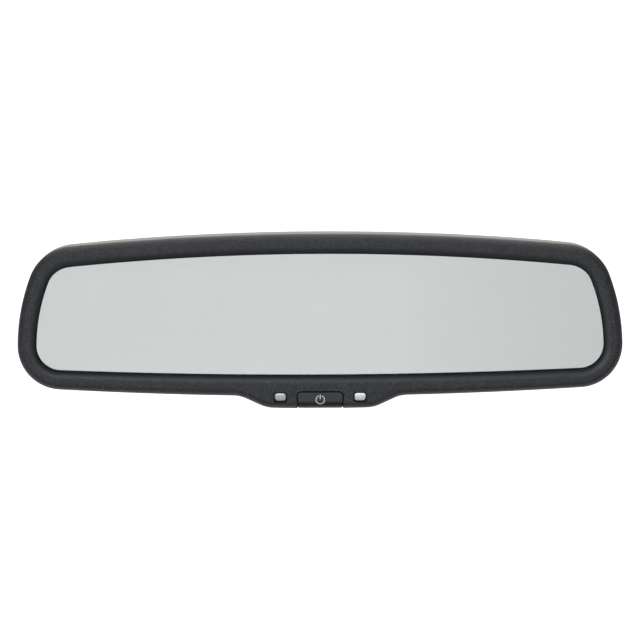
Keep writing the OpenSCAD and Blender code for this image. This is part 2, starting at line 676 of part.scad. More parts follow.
module set_screw() color([0.3, 0.3, 0.31]) on_glass() translate([0, set_screw_y, -foot_t]) difference() {
    cylinder(r = 2, h = foot_t - channel_t);
    translate([0, 0, -e]) cylinder(r = 1.15, h = 2, $fn = 6);
}

// ---- button -----------------------------------------------------------------------

// Side view of the button: the same rounding as the bezel's lower edge.
module button_side() polygon(concat(
    [[0, button_top + 1], [-crown, button_top + 1]],
    [for (u = [90:-15:0]) [edge_y - (crown + edge_y) * sin(u), chin_z + edge_w * (1 - cos(u))]],
    [[button_back, chin_z], [button_back, chin_z + 1.9], [0, chin_z + 1.9]]));
stem_end = switch_y - 1;
symbol_z = chin_z + 4.1;
symbol_t = 0.2;
module symbol_shape() {
    difference() {
        circle(2.1);
        circle(1.6);
        translate([0, 1.6]) square([1.5, 2], center = true);
    }
    translate([0, 1.25]) square([0.5, 2], center = true);
}
module power_button() color([0.22, 0.22, 0.23]) in_head() difference() {
    union() {
        intersection() {
            slab(-crown - 1, button_back + 1) button_shape(0);
            translate([-20, 0, 0]) rotate([90, 0, 90]) linear_extrude(40) button_side();
        }
        translate([0, 0, (button_top + chin_z + rail_in + 0.4) / 2 + 0.7])
            block(2 * button_half + 3.2, 0.1, 1.1, button_top - chin_z - rail_in - 0.4 + 1.4);
        slab(-e, 0.2) intersection() {
            button_shape(-0.2);
            translate([0, button_top - 3]) square([30, 6], center = true);
        }
        translate([0, 0, switch_z]) block(3.6, 1, stem_end, 3.6);
    }
    translate([0, 0, symbol_z]) slab(-crown - 1, -crown + symbol_t) symbol_shape();
}
module power_symbol() color([0.9, 0.94, 0.97]) in_head()
    translate([0, 0, symbol_z]) slab(-crown, -crown + symbol_t) symbol_shape();
module switch_plunger() color([0.85, 0.84, 0.8]) in_head()
    translate([0, 0, switch_z]) rod(1.7, stem_end, stem_end + 2.3);

bezel();
rear_housing();
back_cover();
front_glass();
cell_seal();
ec_gel();
rear_glass();
upper_bus_clip();
lower_bus_clip();
adhesive_pad();
carrier_plate();
carrier_screws();
circuit_board();
board_screws();
microcontroller();
capacitors();
power_regulator();
switch_body();
glare_sensor();
glare_lens();
indicator_led();
indicator_lens();
ambient_sensor();
ambient_lens();
connector_header();
connector_pins();
socket_plate();
socket_retainer();
socket_spring();
plate_screws();
head_front_cup();
head_rear_cup();
arm_tube();
arm_sleeve();
head_ball();
foot_ball();
foot_ball_liner();
mount_foot();
foot_socket_cap();
set_screw();
power_button();
power_symbol();
switch_plunger();
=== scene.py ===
"""Looks of an interior rearview mirror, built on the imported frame.

Sizes are in millimetres, as in the part's source, and meshes are in metres. The
head frame has its origin in the middle of the glass face: x right, y back from
the glass, z up. Each sub-assembly is a class that builds and dresses its pieces.
"""
import json
import logging
import math
from dataclasses import dataclass, field
from enum import Enum
from typing import Any, Optional, Sequence, Union

import bmesh
import bpy
from mathutils import Matrix, Vector
from mathutils.kdtree import KDTree


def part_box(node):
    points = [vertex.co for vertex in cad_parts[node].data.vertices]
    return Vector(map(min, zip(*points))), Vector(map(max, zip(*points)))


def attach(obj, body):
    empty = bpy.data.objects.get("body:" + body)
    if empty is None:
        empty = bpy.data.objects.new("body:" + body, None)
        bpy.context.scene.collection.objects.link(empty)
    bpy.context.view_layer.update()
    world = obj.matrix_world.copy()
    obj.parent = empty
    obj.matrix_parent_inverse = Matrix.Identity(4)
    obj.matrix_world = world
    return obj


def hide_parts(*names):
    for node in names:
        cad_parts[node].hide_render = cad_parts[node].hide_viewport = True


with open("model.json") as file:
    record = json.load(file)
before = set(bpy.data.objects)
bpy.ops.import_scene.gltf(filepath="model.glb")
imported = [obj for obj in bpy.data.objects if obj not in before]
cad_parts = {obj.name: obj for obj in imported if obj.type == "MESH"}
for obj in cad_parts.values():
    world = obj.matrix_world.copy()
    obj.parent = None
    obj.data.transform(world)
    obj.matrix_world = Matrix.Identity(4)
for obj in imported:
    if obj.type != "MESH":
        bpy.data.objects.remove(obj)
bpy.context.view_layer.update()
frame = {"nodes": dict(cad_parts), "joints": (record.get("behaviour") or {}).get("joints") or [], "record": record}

MM = 0.001
LOG = logging.getLogger("mirror")

Colour = tuple[float, float, float]
Point = tuple[float, float, float]
Place = tuple[float, float]
Station = tuple[Vector, Vector]


def joint_centre(name: str) -> Vector:
    """Centre of a joint in the row frame, in millimetres."""
    joint = next(j for j in frame["joints"] if j["name"] == name)
    return Vector(joint["pos_m"]) / MM


def glass_centre() -> Vector:
    """Middle of the glass face in the row frame, in millimetres."""
    low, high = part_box("front_glass")
    return Vector(((low.x + high.x) / 2, low.y, (low.z + high.z) / 2)) / MM


GLASS_AT = glass_centre()
HEAD_BALL_AT = joint_centre("head_swivel")
FOOT_BALL_AT = joint_centre("arm_swing")


class Body(Enum):
    """The rigid bodies of the frame that the new pieces ride on."""

    HEAD = "mirror_head"
    ARM = "support_arm"
    MOUNT = "windshield_mount"
    BUTTON = "button"


# ---- shader trees --------------------------------------------------------------------


class Wire:
    """An output of a shader tree that takes part in Python sums."""

    def __init__(self, graph: "Graph", socket: bpy.types.NodeSocket) -> None:
        """Keeps the tree and the socket.

        Args:
            graph: The tree that the socket is in.
            socket: The output socket.
        """
        self.graph = graph
        self.socket = socket

    def _math(self, operation: str, first: Any, second: Any) -> "Wire":
        """Adds a Math node on two values."""
        return self.graph.add("ShaderNodeMath", {"operation": operation}, {0: first, 1: second})

    def __add__(self, other: Any) -> "Wire":
        """Sum."""
        return self._math("ADD", self, other)

    def __radd__(self, other: Any) -> "Wire":
        """Sum with a plain number first."""
        return self._math("ADD", other, self)

    def __sub__(self, other: Any) -> "Wire":
        """Difference."""
        return self._math("SUBTRACT", self, other)

    def __rsub__(self, other: Any) -> "Wire":
        """Difference from a plain number."""
        return self._math("SUBTRACT", other, self)

    def __mul__(self, other: Any) -> "Wire":
        """Product."""
        return self._math("MULTIPLY", self, other)

    def __rmul__(self, other: Any) -> "Wire":
        """Product with a plain number first."""
        return self._math("MULTIPLY", other, self)

    def step(self, low: float, high: float) -> "Wire":
        """Smooth step of the value.

        Args:
            low: Value below which the result is 0.
            high: Value above which the result is 1.

        Returns:
            The step as a wire.
        """
        return self.graph.add(
            "ShaderNodeMapRange", {"interpolation_type": "SMOOTHSTEP"},
            {0: self, 1: low, 2: high, 3: 0.0, 4: 1.0})


class Graph:
    """The node tree of one material."""

    def __init__(self, tree: bpy.types.NodeTree) -> None:
        """Clears the tree.

        Args:
            tree: A shader tree.
        """
        self.tree = tree
        self.tree.nodes.clear()

    def add(self, kind: str, settings: Optional[dict[str, Any]] = None,
            inputs: Optional[dict[Union[int, str], Any]] = None,
            output: Union[int, str] = 0) -> Wire:
        """Adds one node: its settings first, then the values or links of its sockets.

        Args:
            kind: The node's type.
            settings: Attributes of the node.
            inputs: Socket name or number to a value or a wire.
            output: Name or number of the output that is returned.

        Returns:
            The output as a wire.
        """
        node = self.tree.nodes.new(kind)
        for name, value in (settings or {}).items():
            setattr(node, name, value)
        for key, value in (inputs or {}).items():
            if isinstance(value, Wire):
                self.tree.links.new(value.socket, node.inputs[key])
            else:
                node.inputs[key].default_value = value
        return Wire(self, node.outputs[output] if len(node.outputs) else None)

    def place(self) -> Wire:
        """Object coordinates, in metres."""
        return self.add("ShaderNodeTexCoord", output="Object")

    def axis(self, name: str) -> Wire:
        """One of the object coordinates X, Y and Z, in metres."""
        return self.add("ShaderNodeSeparateXYZ", {}, {0: self.place()}, name)

    def stretched(self, scale: Point) -> Wire:
        """Object coordinates with each axis scaled."""
        return self.add("ShaderNodeMapping", {}, {"Vector": self.place(), "Scale": scale})

    def noise(self, size: float, detail: float = 3.0, rough: float = 0.5,
              vector: Optional[Wire] = None) -> Wire:
        """Noise with blobs of a given size.

        Args:
            size: Size of a blob in millimetres.
            detail: Number of octaves.
            rough: Weight of the finer octaves.
            vector: Coordinates; the object's own if left out.

        Returns:
            The noise, from 0 to 1.
        """
        return self.add("ShaderNodeTexNoise", {}, {
            "Vector": vector or self.place(), "Scale": 1.0 / (size * MM), "Detail": detail,
            "Roughness": rough}, "Fac")

    def cells(self, size: float, feature: str = "F1", vector: Optional[Wire] = None) -> Wire:
        """Distance inside cells of a size in millimetres, as a share of that size."""
        return self.add("ShaderNodeTexVoronoi", {"feature": feature}, {
            "Vector": vector or self.place(), "Scale": 1.0 / (size * MM), "Randomness": 1.0},
            "Distance")

    def mix(self, factor: Any, first: Any, second: Any) -> Wire:
        """Mix of two colours.

        Args:
            factor: Share of the second colour, a number or a wire.
            first: A colour or a wire.
            second: A colour or a wire.

        Returns:
            The mixed colour.
        """
        first, second = (c if isinstance(c, Wire) else (*c, 1.0) for c in (first, second))
        return self.add("ShaderNodeMix", {"data_type": "RGBA", "clamp_factor": True},
                        {0: factor, 6: first, 7: second}, 2)

    def bump(self, height: Wire, depth: float, normal: Optional[Wire] = None) -> Wire:
        """Bump over a surface.

        Args:
            height: Relief, from 0 to about 1.
            depth: Depth of a relief of 1, in millimetres.
            normal: Normal that the bump is added to; the surface's own if left out.

        Returns:
            The bumped normal.
        """
        inputs: dict[Union[int, str], Any] = {"Height": height, "Distance": depth * MM}
        if normal is not None:
            inputs["Normal"] = normal
        return self.add("ShaderNodeBump", {}, inputs, "Normal")

    def soft_edges(self, radius: float) -> Optional[Wire]:
        """Normal with edges rounded by a radius in millimetres, or None for a radius of 0."""
        return self.add("ShaderNodeBevel", {"samples": 4}, {"Radius": radius * MM},
                        "Normal") if radius else None

    def edge_mask(self, radius: float) -> Wire:
        """1 on the flats and lower where an edge is within a radius in millimetres."""
        plain = self.add("ShaderNodeNewGeometry", output="Normal")
        return self.add("ShaderNodeVectorMath", {"operation": "DOT_PRODUCT"},
                        {0: self.soft_edges(radius), 1: plain}, "Value")

    def surface(self, **inputs: Any) -> None:
        """Adds the main shader and links it to the output.

        Args:
            **inputs: Socket names, with _ for a space, and their values or wires.
        """
        named = {name.replace("_", " "): value for name, value in inputs.items()}
        shader = self.add("ShaderNodeBsdfPrincipled", {}, named)
        self.add("ShaderNodeOutputMaterial", {}, {0: shader})


def toned(colour: Colour, share: float) -> Colour:
    """Colour with each of its channels multiplied by a share."""
    return tuple(c * share for c in colour)


def new_material(name: str) -> tuple[bpy.types.Material, Graph]:
    """Makes an empty material.

    Args:
        name: Name of the material.

    Returns:
        The material, and the graph that fills it.
    """
    material = bpy.data.materials.new(name)
    material.use_nodes = True
    return material, Graph(material.node_tree)


# ---- finishes ------------------------------------------------------------------------


@dataclass(frozen=True)
class Moulded:
    """Moulded plastic: pigment with faint mottling, spark-eroded grain and worn edges."""

    colour: Colour
    roughness: float = 0.5
    grain: float = 0.45
    depth: float = 0.02
    mottle: float = 0.08
    specular: float = 0.5
    edge: float = 0.2

    def dress(self, graph: Graph) -> None:
        """Builds the shader.

        Args:
            graph: Tree of the material.
        """
        soft = graph.noise(9.0, 4.0)
        fine = graph.noise(self.grain, 2.0, 0.6)
        pits = graph.cells(self.grain * 1.6)
        light = toned(self.colour, 1 + self.mottle)
        body = graph.mix(soft.step(0.3, 0.7), toned(self.colour, 1 - self.mottle), light)
        height = fine * 0.6 + pits * 0.5
        graph.surface(
            Base_Color=graph.mix(pits.step(0.55, 0.9) * 0.35, body, light),
            Roughness=self.roughness - 0.05 + fine * 0.1,
            Specular_IOR_Level=self.specular,
            Normal=graph.bump(height, self.depth, graph.soft_edges(self.edge)))


@dataclass(frozen=True)
class Grained:
    """Leather-grained plastic of the bezel, with a smoother flank beside the glass, painted shade in its creases
    and at its lip, and painted highlight specks.
    """

    colour: Colour
    flank: Colour
    roughness: float = 0.5
    specular: float = 0.5

    def dress(self, graph: Graph) -> None:
        """Builds the shader, which reads how far each point is outside the clear glass.

        Args:
            graph: Tree of the material.
        """
        out = graph.add("ShaderNodeAttribute", {"attribute_name": "inset"}, {}, "Fac")
        grained = out.step(1.4, 3.4)
        warp = graph.add("ShaderNodeVectorMath", {"operation": "MULTIPLY_ADD"}, {
            0: graph.add("ShaderNodeTexNoise", {}, {"Vector": graph.place(), "Scale": 1300.0},
                         "Color"),
            1: (0.0005,) * 3, 2: graph.place()}, "Vector")
        creases = graph.cells(0.85, "DISTANCE_TO_EDGE", warp).step(0.02, 0.32)
        pores = graph.cells(0.38, "F1", warp)
        wrinkle = graph.noise(0.6, 3.0, 0.65)
        soft = graph.noise(14.0, 3.0)
        height = creases * 0.55 + wrinkle * 0.75 + pores * 0.25
        body = graph.mix(soft.step(0.3, 0.7), toned(self.colour, 0.92), toned(self.colour, 1.08))
        # Lighter specks stand in for glints on the grain: painted highlight. The creases are mixed darker: painted
        # shade.
        speck = graph.noise(1.0, 2.0, 0.6).step(0.5, 0.66)
        raised = graph.mix(speck * 0.9, body, toned(self.colour, 1.75))
        leather_with_painted_light = graph.mix((1.0 - creases) * 0.5, raised, toned(self.colour, 0.35))
        # The lip beside the glass is painted near black and made rougher: painted shade in the crevice between
        # bezel and glass.
        lip = 1.0 - out.step(0.05, 0.42)
        graph.surface(
            Base_Color=graph.mix(lip, graph.mix(grained, self.flank, leather_with_painted_light),
                                 toned(self.flank, 0.15)),
            Roughness=self.roughness + grained * 0.04 + wrinkle * 0.1 + lip * 0.45,
            Specular_IOR_Level=self.specular,
            Normal=graph.bump(height * grained + wrinkle * 0.1, 0.2, graph.soft_edges(0.16)))


@dataclass(frozen=True)
class Worked:
    """Machined, drawn or stamped metal with tool marks and handling marks."""

    colour: Colour
    roughness: float = 0.28
    marks: Point = (1.0, 14.0, 1.0)
    depth: float = 0.006
    edge: float = 0.15

    def dress(self, graph: Graph) -> None:
        """Builds the shader.

        Args:
            graph: Tree of the material.
        """
        lines = graph.noise(0.9, 4.0, 0.7, graph.stretched(self.marks))
        smudge = graph.noise(6.0, 3.0)
        tone = graph.mix(smudge.step(0.3, 0.75), toned(self.colour, 0.82), self.colour)
        graph.surface(
            Base_Color=graph.mix(lines.step(0.62, 0.8) * 0.4, tone, toned(self.colour, 0.6)),
            Metallic=1.0,
            Roughness=self.roughness - 0.06 + smudge * 0.1 + lines * 0.08,
            Normal=graph.bump(lines, self.depth, graph.soft_edges(self.edge)))


@dataclass(frozen=True)
class Cast:
    """Painted casting: orange-peel paint with bright metal showing on worn edges."""

    paint: Colour
    metal: Colour = (0.5, 0.5, 0.49)
    roughness: float = 0.42

    def dress(self, graph: Graph) -> None:
        """Builds the shader.

        Args:
            graph: Tree of the material.
        """
        peel = graph.noise(1.1, 3.0, 0.5)
        chips = graph.noise(1.8, 5.0, 0.7)
        worn = (1.0 - graph.edge_mask(0.45)) * 6.0 * chips.step(0.42, 0.6)
        tone = graph.mix(graph.noise(7.0).step(0.3, 0.7), toned(self.paint, 0.85), self.paint)
        bare = worn.step(0.25, 0.6)
        graph.surface(
            Base_Color=graph.mix(bare, tone, self.metal),
            Metallic=bare * 0.9,
            Roughness=self.roughness + peel * 0.1 - bare * 0.08,
            Normal=graph.bump(peel - bare * 0.3, 0.04, graph.soft_edges(0.35)))


@dataclass(frozen=True)
class Clear:
    """Clear or tinted glass or gel, with faint wipe marks."""

    colour: Colour
    haze: float = 0.02
    ior: float = 1.45

    def dress(self, graph: Graph) -> None:
        """Builds the shader.

        Args:
            graph: Tree of the material.
        """
        wipes = graph.noise(5.0, 4.0, 0.6, graph.stretched((0.35, 1.0, 1.0)))
        graph.surface(
            Base_Color=graph.mix(wipes.step(0.35, 0.75), self.colour, toned(self.colour, 0.993)),
            Roughness=wipes * self.haze, Transmission_Weight=1.0, IOR=self.ior)


@dataclass(frozen=True)
class Mirrored:
    """Coated glass: a neutral mirror with broad, very faint clouds."""

    colour: Colour
    cloud: Colour

    def dress(self, graph: Graph) -> None:
        """Builds the shader.

        Args:
            graph: Tree of the material.
        """
        clouds = graph.noise(60.0, 2.0)
        fine = graph.noise(2.0, 2.0)
        graph.surface(
            Base_Color=graph.mix(clouds.step(0.25, 0.75), self.colour, self.cloud),
            Metallic=1.0, Roughness=0.008 + fine * 0.003)


@dataclass(frozen=True)
class Diffuser:
    """Light-spreading window: milky resin with fine upright ribs behind a glossy face, with painted shade towards
    its foot.
    """

    colour: Colour
    shade: Colour
    coat: float = 0.6
    foot_z: float = -37.0
    height: float = 4.2

    def dress(self, graph: Graph) -> None:
        """Builds the shader.

        Args:
            graph: Tree of the material.
        """
        ribs = graph.add("ShaderNodeTexWave", {"wave_type": "BANDS", "bands_direction": "X"}, {
            "Vector": graph.place(), "Scale": 480.0, "Distortion": 0.4, "Detail": 1.0}, "Fac")
        cloud = graph.noise(2.2, 3.0)
        # From its foot up, the window goes from the shade colour to its own colour: painted shade of the recess,
        # lighter where light from above falls.
        foot = (GLASS_AT.z + self.foot_z) * MM
        rise = graph.axis("Z").step(foot, foot + self.height * MM)
        tone = graph.mix(rise * 0.75 + cloud * 0.25, self.shade, self.colour)
        graph.surface(
            Base_Color=graph.mix(ribs * 0.12, tone, toned(self.colour, 0.7)),
            Roughness=0.22 + cloud * 0.12, Coat_Weight=self.coat, Coat_Roughness=0.06,
            Normal=graph.bump(ribs, 0.012))


@dataclass(frozen=True)
class Laminate:
    """Circuit board: solder mask over copper tracks, with a woven core."""

    colour: Colour

    def dress(self, graph: Graph) -> None:
        """Builds the shader.

        Args:
            graph: Tree of the material.
        """
        weave = graph.add("ShaderNodeTexChecker", {}, {"Vector": graph.place(), "Scale": 2400.0},
                          "Fac")
        tracks = graph.cells(3.2, "DISTANCE_TO_EDGE",
                             graph.stretched((1.0, 0.05, 1.0))).step(0.05, 0.09)
        lighter = tuple(min(1.0, c * 1.7 + 0.01) for c in self.colour)
        graph.surface(
            Base_Color=graph.mix(1.0 - tracks, self.colour, lighter),
            Roughness=0.34 + weave * 0.06,
            Normal=graph.bump((1.0 - tracks) + weave * 0.15, 0.03))


@dataclass(frozen=True)
class Foam:
    """Closed-cell foam tape."""

    colour: Colour

    def dress(self, graph: Graph) -> None:
        """Builds the shader.

        Args:
            graph: Tree of the material.
        """
        pores = graph.cells(0.5)
        # Darker at the middle of each pore: painted shade in the pore hollows.
        graph.surface(
            Base_Color=graph.mix(pores, toned(self.colour, 0.6), self.colour),
            Roughness=0.85 + pores * 0.1, Normal=graph.bump(pores, 0.12))


@dataclass(frozen=True)
class Printed:
    """Printed sign: a matt ink with fine specks."""

    colour: Colour

    def dress(self, graph: Graph) -> None:
        """Builds the shader.

        Args:
            graph: Tree of the material.
        """
        speck = graph.noise(0.25, 3.0, 0.6)
        graph.surface(
            Base_Color=graph.mix(speck.step(0.3, 0.8), toned(self.colour, 0.86), self.colour),
            Roughness=0.4 + speck * 0.1, Normal=graph.bump(speck, 0.01))


# The numbers of a Moulded are its roughness, grain, depth, mottle, specular and edge,
# and those of a Worked are its roughness, marks, depth and edge.
FINISHES: dict[str, Any] = {
    "bezel_plastic": Grained((0.0205, 0.0215, 0.0258), (0.0175, 0.0185, 0.0222), 0.44, 0.42),
    "button_plastic": Moulded((0.0125, 0.0133, 0.0168), 0.46, 0.5, 0.012, 0.06, 0.3, 0.0),
    "symbol_ink": Printed((0.5, 0.56, 0.62)),
    "housing_plastic": Moulded((0.33, 0.328, 0.312), 0.62, 0.5, 0.03, 0.03, 0.2, 0.0),
    "clear_glass": Clear((0.97, 0.985, 0.98), haze=0.0),
    "mirror_coat": Mirrored((0.765, 0.785, 0.783), (0.75, 0.772, 0.772)),
    "cell_gel": Clear((0.9, 0.95, 0.95)),
    "seal_epoxy": Moulded((0.05, 0.05, 0.055), 0.35, 0.6, 0.01, 0.05, 0.5, 0.0),
    "bus_strip": Worked((0.72, 0.45, 0.24), 0.3, (14.0, 1.0, 1.0), 0.004, 0.0),
    "foam_tape": Foam((0.045, 0.045, 0.05)),
    "carrier_plastic": Moulded((0.02, 0.02, 0.022), 0.5, 0.6, 0.02, 0.06, 0.5, 0.0),
    "screw_steel": Worked((0.62, 0.62, 0.64), 0.25, (1.0, 6.0, 1.0), 0.006, 0.0),
    "board_laminate": Laminate((0.012, 0.09, 0.035)),
    "chip_resin": Moulded((0.018, 0.018, 0.02), 0.45, 0.2, 0.01, 0.04, 0.5, 0.0),
    "can_aluminium": Worked((0.75, 0.76, 0.78), 0.3, (1.0, 1.0, 8.0), 0.004, 0.0),
    "sensor_resin": Moulded((0.03, 0.022, 0.018), 0.2, 0.3, 0.004, 0.05, 0.5, 0.0),
    "led_resin": Moulded((0.75, 0.74, 0.6), 0.25, 0.3, 0.004, 0.04, 0.5, 0.0),
    "lens_clear": Diffuser((0.84, 0.86, 0.85), (0.3, 0.31, 0.31)),
    "lens_grey": Diffuser((0.43, 0.44, 0.44), (0.24, 0.245, 0.25), 0.35),
    "header_plastic": Moulded((0.02, 0.02, 0.022), 0.42, 0.5, 0.012, 0.05, 0.5, 0.15),
    "pin_gold": Worked((0.9, 0.66, 0.28), 0.22, (1.0, 10.0, 1.0), 0.003, 0.0),
    "socket_steel": Worked((0.56, 0.565, 0.58), 0.32, (1.0, 1.0, 9.0), 0.006, 0.15),
    "socket_plastic": Moulded((0.028, 0.028, 0.03), 0.42, 0.5, 0.015, 0.06, 0.5, 0.2),
    "spring_steel": Worked((0.45, 0.46, 0.49), 0.25, (6.0, 1.0, 6.0), 0.004, 0.0),
    "liner_plastic": Moulded((0.68, 0.66, 0.58), 0.45, 0.6, 0.01, 0.04, 0.5, 0.1),
    "arm_steel": Worked((0.5, 0.51, 0.53), 0.26, (9.0, 1.0, 9.0), 0.006, 0.1),
    "ball_steel": Worked((0.55, 0.56, 0.58), 0.2, (1.0, 7.0, 1.0), 0.004, 0.1),
    "sleeve_plastic": Moulded((0.026, 0.026, 0.028), 0.62, 0.5, 0.03, 0.06, 0.4, 0.0),
    "foot_metal": Cast((0.028, 0.028, 0.031)),
    "cap_plastic": Moulded((0.03, 0.03, 0.033), 0.5, 0.5, 0.025, 0.06, 0.5, 0.2),
}


@dataclass
class Paintshop:
    """Makes each slot's material once and hands it out."""

    made: dict[str, bpy.types.Material] = field(default_factory=dict)

    def material(self, slot: str) -> bpy.types.Material:
        """Material of a slot.

        Args:
            slot: Name of a material slot of the record.

        Returns:
            The material, built on first use.
        """
        if slot not in self.made:
            self.made[slot], graph = new_material("finish_" + slot)
            FINISHES[slot].dress(graph)
        return self.made[slot]


PAINT = Paintshop()


# ---- mesh tools ----------------------------------------------------------------------


def linked(name: str, data: bpy.types.ID) -> bpy.types.Object:
    """New object of the scene.

    Args:
        name: Name of the object.
        data: Its mesh, camera or light.

    Returns:
        The object, at the origin.
    """
    thing = bpy.data.objects.new(name, data)
    bpy.context.scene.collection.objects.link(thing)
    return thing


def to_object(name: str, mesh: bmesh.types.BMesh, sharp: float = 32.0) -> bpy.types.Object:
    """Turns a bmesh in millimetres into an object in metres.

    Args:
        name: Name of the object.
        mesh: The mesh, which is freed.
        sharp: Angle in degrees above which an edge stays sharp.

    Returns:
        The object, at the origin.
    """
    bmesh.ops.scale(mesh, vec=(MM,) * 3, verts=mesh.verts)
    data = bpy.data.meshes.new(name)
    mesh.to_mesh(data)
    mesh.free()
    thing = linked(name, data)
    shade(thing, sharp)
    return thing


def shade(thing: bpy.types.Object, sharp: float) -> None:
    """Shades an object smoothly between its sharp edges."""
    thing.data.shade_smooth()
    thing.data.set_sharp_from_angle(angle=math.radians(sharp))


def baked(thing: bpy.types.Object) -> bpy.types.Object:
    """Applies all modifiers of an object.

    Args:
        thing: An object with modifiers.

    Returns:
        The same object with a plain mesh.
    """
    graph = bpy.context.evaluated_depsgraph_get()
    data = bpy.data.meshes.new_from_object(thing.evaluated_get(graph), depsgraph=graph)
    thing.modifiers.clear()
    old = thing.data
    thing.data = data
    data.name = thing.name
    bpy.data.meshes.remove(old)
    return thing


def skin(mesh: bmesh.types.BMesh, rings: Sequence[Sequence[Vector]], closed: bool,
         caps: bool) -> None:
    """Adds a skin through rings with the same number of points to a mesh.

    Args:
        mesh: The mesh.
        rings: The rings, each a closed loop of points.
        closed: Joins the last ring to the first.
        caps: Shuts the first and last ring with a face.
    """
    rows = [[mesh.verts.new(p) for p in ring] for ring in rings]
    pairs = list(zip(rows, rows[1:])) + ([(rows[-1], rows[0])] if closed else [])
    for low, high in pairs:
        for i in range(len(low)):
            j = (i + 1) % len(low)
            mesh.faces.new((low[i], low[j], high[j], high[i]))
    if caps:
        mesh.faces.new(rows[0])
        mesh.faces.new(rows[-1])


def loft(rings: Sequence[Sequence[Vector]], closed: bool = True,
         caps: bool = False) -> bmesh.types.BMesh:
    """Mesh of one skin.

    Args:
        rings: The rings, each a closed loop of points.
        closed: Joins the last ring to the first.
        caps: Shuts the first and last ring with a face.

    Returns:
        The skin with its faces outward.
    """
    mesh = bmesh.new()
    skin(mesh, rings, closed, caps)
    bmesh.ops.recalc_face_normals(mesh, faces=mesh.faces)
    return mesh


def sheet(name: str, columns: Sequence[Sequence[Point]]) -> bpy.types.Object:
    """Open sheet through columns of points.

    Args:
        name: Name of the sheet.
        columns: Columns from left to right with the same number of points, low to high.

    Returns:
        The sheet as an object.
    """
    mesh = bmesh.new()
    rows = [[mesh.verts.new(p) for p in column] for column in columns]
    for left, right in zip(rows, rows[1:]):
        for i in range(len(left) - 1):
            mesh.faces.new((left[i], right[i], right[i + 1], left[i + 1]))
    return to_object(name, mesh, 60.0)


def spread(start: float, end: float, count: int) -> list[float]:
    """Evenly spaced values, both ends included."""
    return [start + (end - start) * i / (count - 1) for i in range(count)]


def circle(centre: Vector, radius: float, y: float, steps: int) -> list[Vector]:
    """Ring of points about an axis along y.

    Args:
        centre: Point on the axis.
        radius: Radius of the ring.
        y: Place of the ring along the axis, from the centre.
        steps: Number of points.

    Returns:
        The points.
    """
    turns = (2 * math.pi * i / steps for i in range(steps))
    return [centre + Vector((radius * math.cos(a), y, radius * math.sin(a))) for a in turns]


def lathe(profile: Sequence[Place], centre: Vector, steps: int = 96,
          closed: bool = True) -> bmesh.types.BMesh:
    """Turned piece about an axis along y.

    Args:
        profile: Radius and y of the profile's corners; a radius of 0 is on the axis.
        centre: Point that the profile is measured from.
        steps: Number of sides.
        closed: Joins the last corner to the first.

    Returns:
        The turned mesh with poles merged and faces outward.
    """
    mesh = loft([circle(centre, radius, y, steps) for radius, y in profile], closed)
    bmesh.ops.remove_doubles(mesh, verts=mesh.verts, dist=1e-5)
    bmesh.ops.recalc_face_normals(mesh, faces=mesh.faces)
    return mesh


def rounded(profile: Sequence[tuple[float, float, float]], steps: int) -> list[Place]:
    """Rounds the corners of a closed profile.

    Args:
        profile: Two coordinates and a corner radius for each corner.
        steps: Segments of each rounded corner.

    Returns:
        The points of the rounded profile.
    """
    points: list[Place] = []
    for i, (x, y, radius) in enumerate(profile):
        if radius <= 0:
            points.append((x, y))
            continue
        here = Vector((x, y))
        before = Vector(profile[i - 1][:2]) - here
        after = Vector(profile[(i + 1) % len(profile)][:2]) - here
        half = before.angle(after) / 2
        reach = radius / math.tan(half)
        before.normalize()
        after.normalize()
        start, end = here + before * reach, here + after * reach
        middle = here + (before + after).normalized() * (radius / math.sin(half))
        a, b = start - middle, end - middle
        for k in range(steps + 1):
            turned = a.lerp(b, k / steps).normalized() * radius
            points.append(tuple(middle + turned))
    return points


def prism(outline: Sequence[Place], rows: Sequence[Place], centre: Vector) -> bmesh.types.BMesh:
    """Solid with an outline in x and z that is drawn through rows of depth.

    Args:
        outline: Corners in x and z.
        rows: y and how far the outline is moved inward there.
        centre: Point that the outline and rows are measured from.

    Returns:
        The closed solid.
    """
    return loft([[centre + Vector((x, y, z)) for x, z in moved_in(outline, inward)]
                 for y, inward in rows], False, True)


def moved_in(outline: Sequence[Place], inward: float) -> list[Place]:
    """Moves each corner of an outline inward along its normal.

    Args:
        outline: The corners.
        inward: How far they move; less than 0 moves them outward.

    Returns:
        The moved corners.
    """
    if not inward:
        return list(outline)
    count = len(outline)
    area = sum(outline[i - 1][0] * outline[i][1] - outline[i][0] * outline[i - 1][1]
               for i in range(count))
    side = 1.0 if area > 0 else -1.0
    result = []
    for i in range(count):
        before, here, after = (Vector(outline[k % count]) for k in (i - 1, i, i + 1))
        normal = Vector((0.0, 0.0))
        for run in (here - before, after - here):
            if run.length > 1e-9:
                normal += Vector((-run.y, run.x)).normalized() * side
        result.append(tuple(here + normal.normalized() * inward))
    return result


def cut(thing: bpy.types.Object, cutters: Sequence[bpy.types.Object]) -> bpy.types.Object:
    """Cuts solids out of an object and removes them.

    Args:
        thing: The object that is cut.
        cutters: Closed solids.

    Returns:
        The cut object.
    """
    for cutter in cutters:
        modifier = thing.modifiers.new("cut", "BOOLEAN")
        modifier.operation = "DIFFERENCE"
        modifier.solver = "EXACT"
        modifier.object = cutter
    baked(thing)
    for cutter in cutters:
        data = cutter.data
        bpy.data.objects.remove(cutter)
        bpy.data.meshes.remove(data)
    return thing


def settle(piece: bpy.types.Object, body: Body, slot: str, *nodes: str) -> None:
    """Gives a finished piece its finish and body, and hides the CAD nodes that it stands for.

    Args:
        piece: The finished object.
        body: The body it rides on.
        slot: The material slot it takes its finish from.
        *nodes: CAD nodes that it stands for.
    """
    piece.data.materials.clear()
    piece.data.materials.append(PAINT.material(slot))
    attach(piece, body.value)
    if nodes:
        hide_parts(*nodes)
    LOG.info("%s rides on %s with %d faces", piece.name, body.value, len(piece.data.polygons))


# ---- outline of the head -------------------------------------------------------------


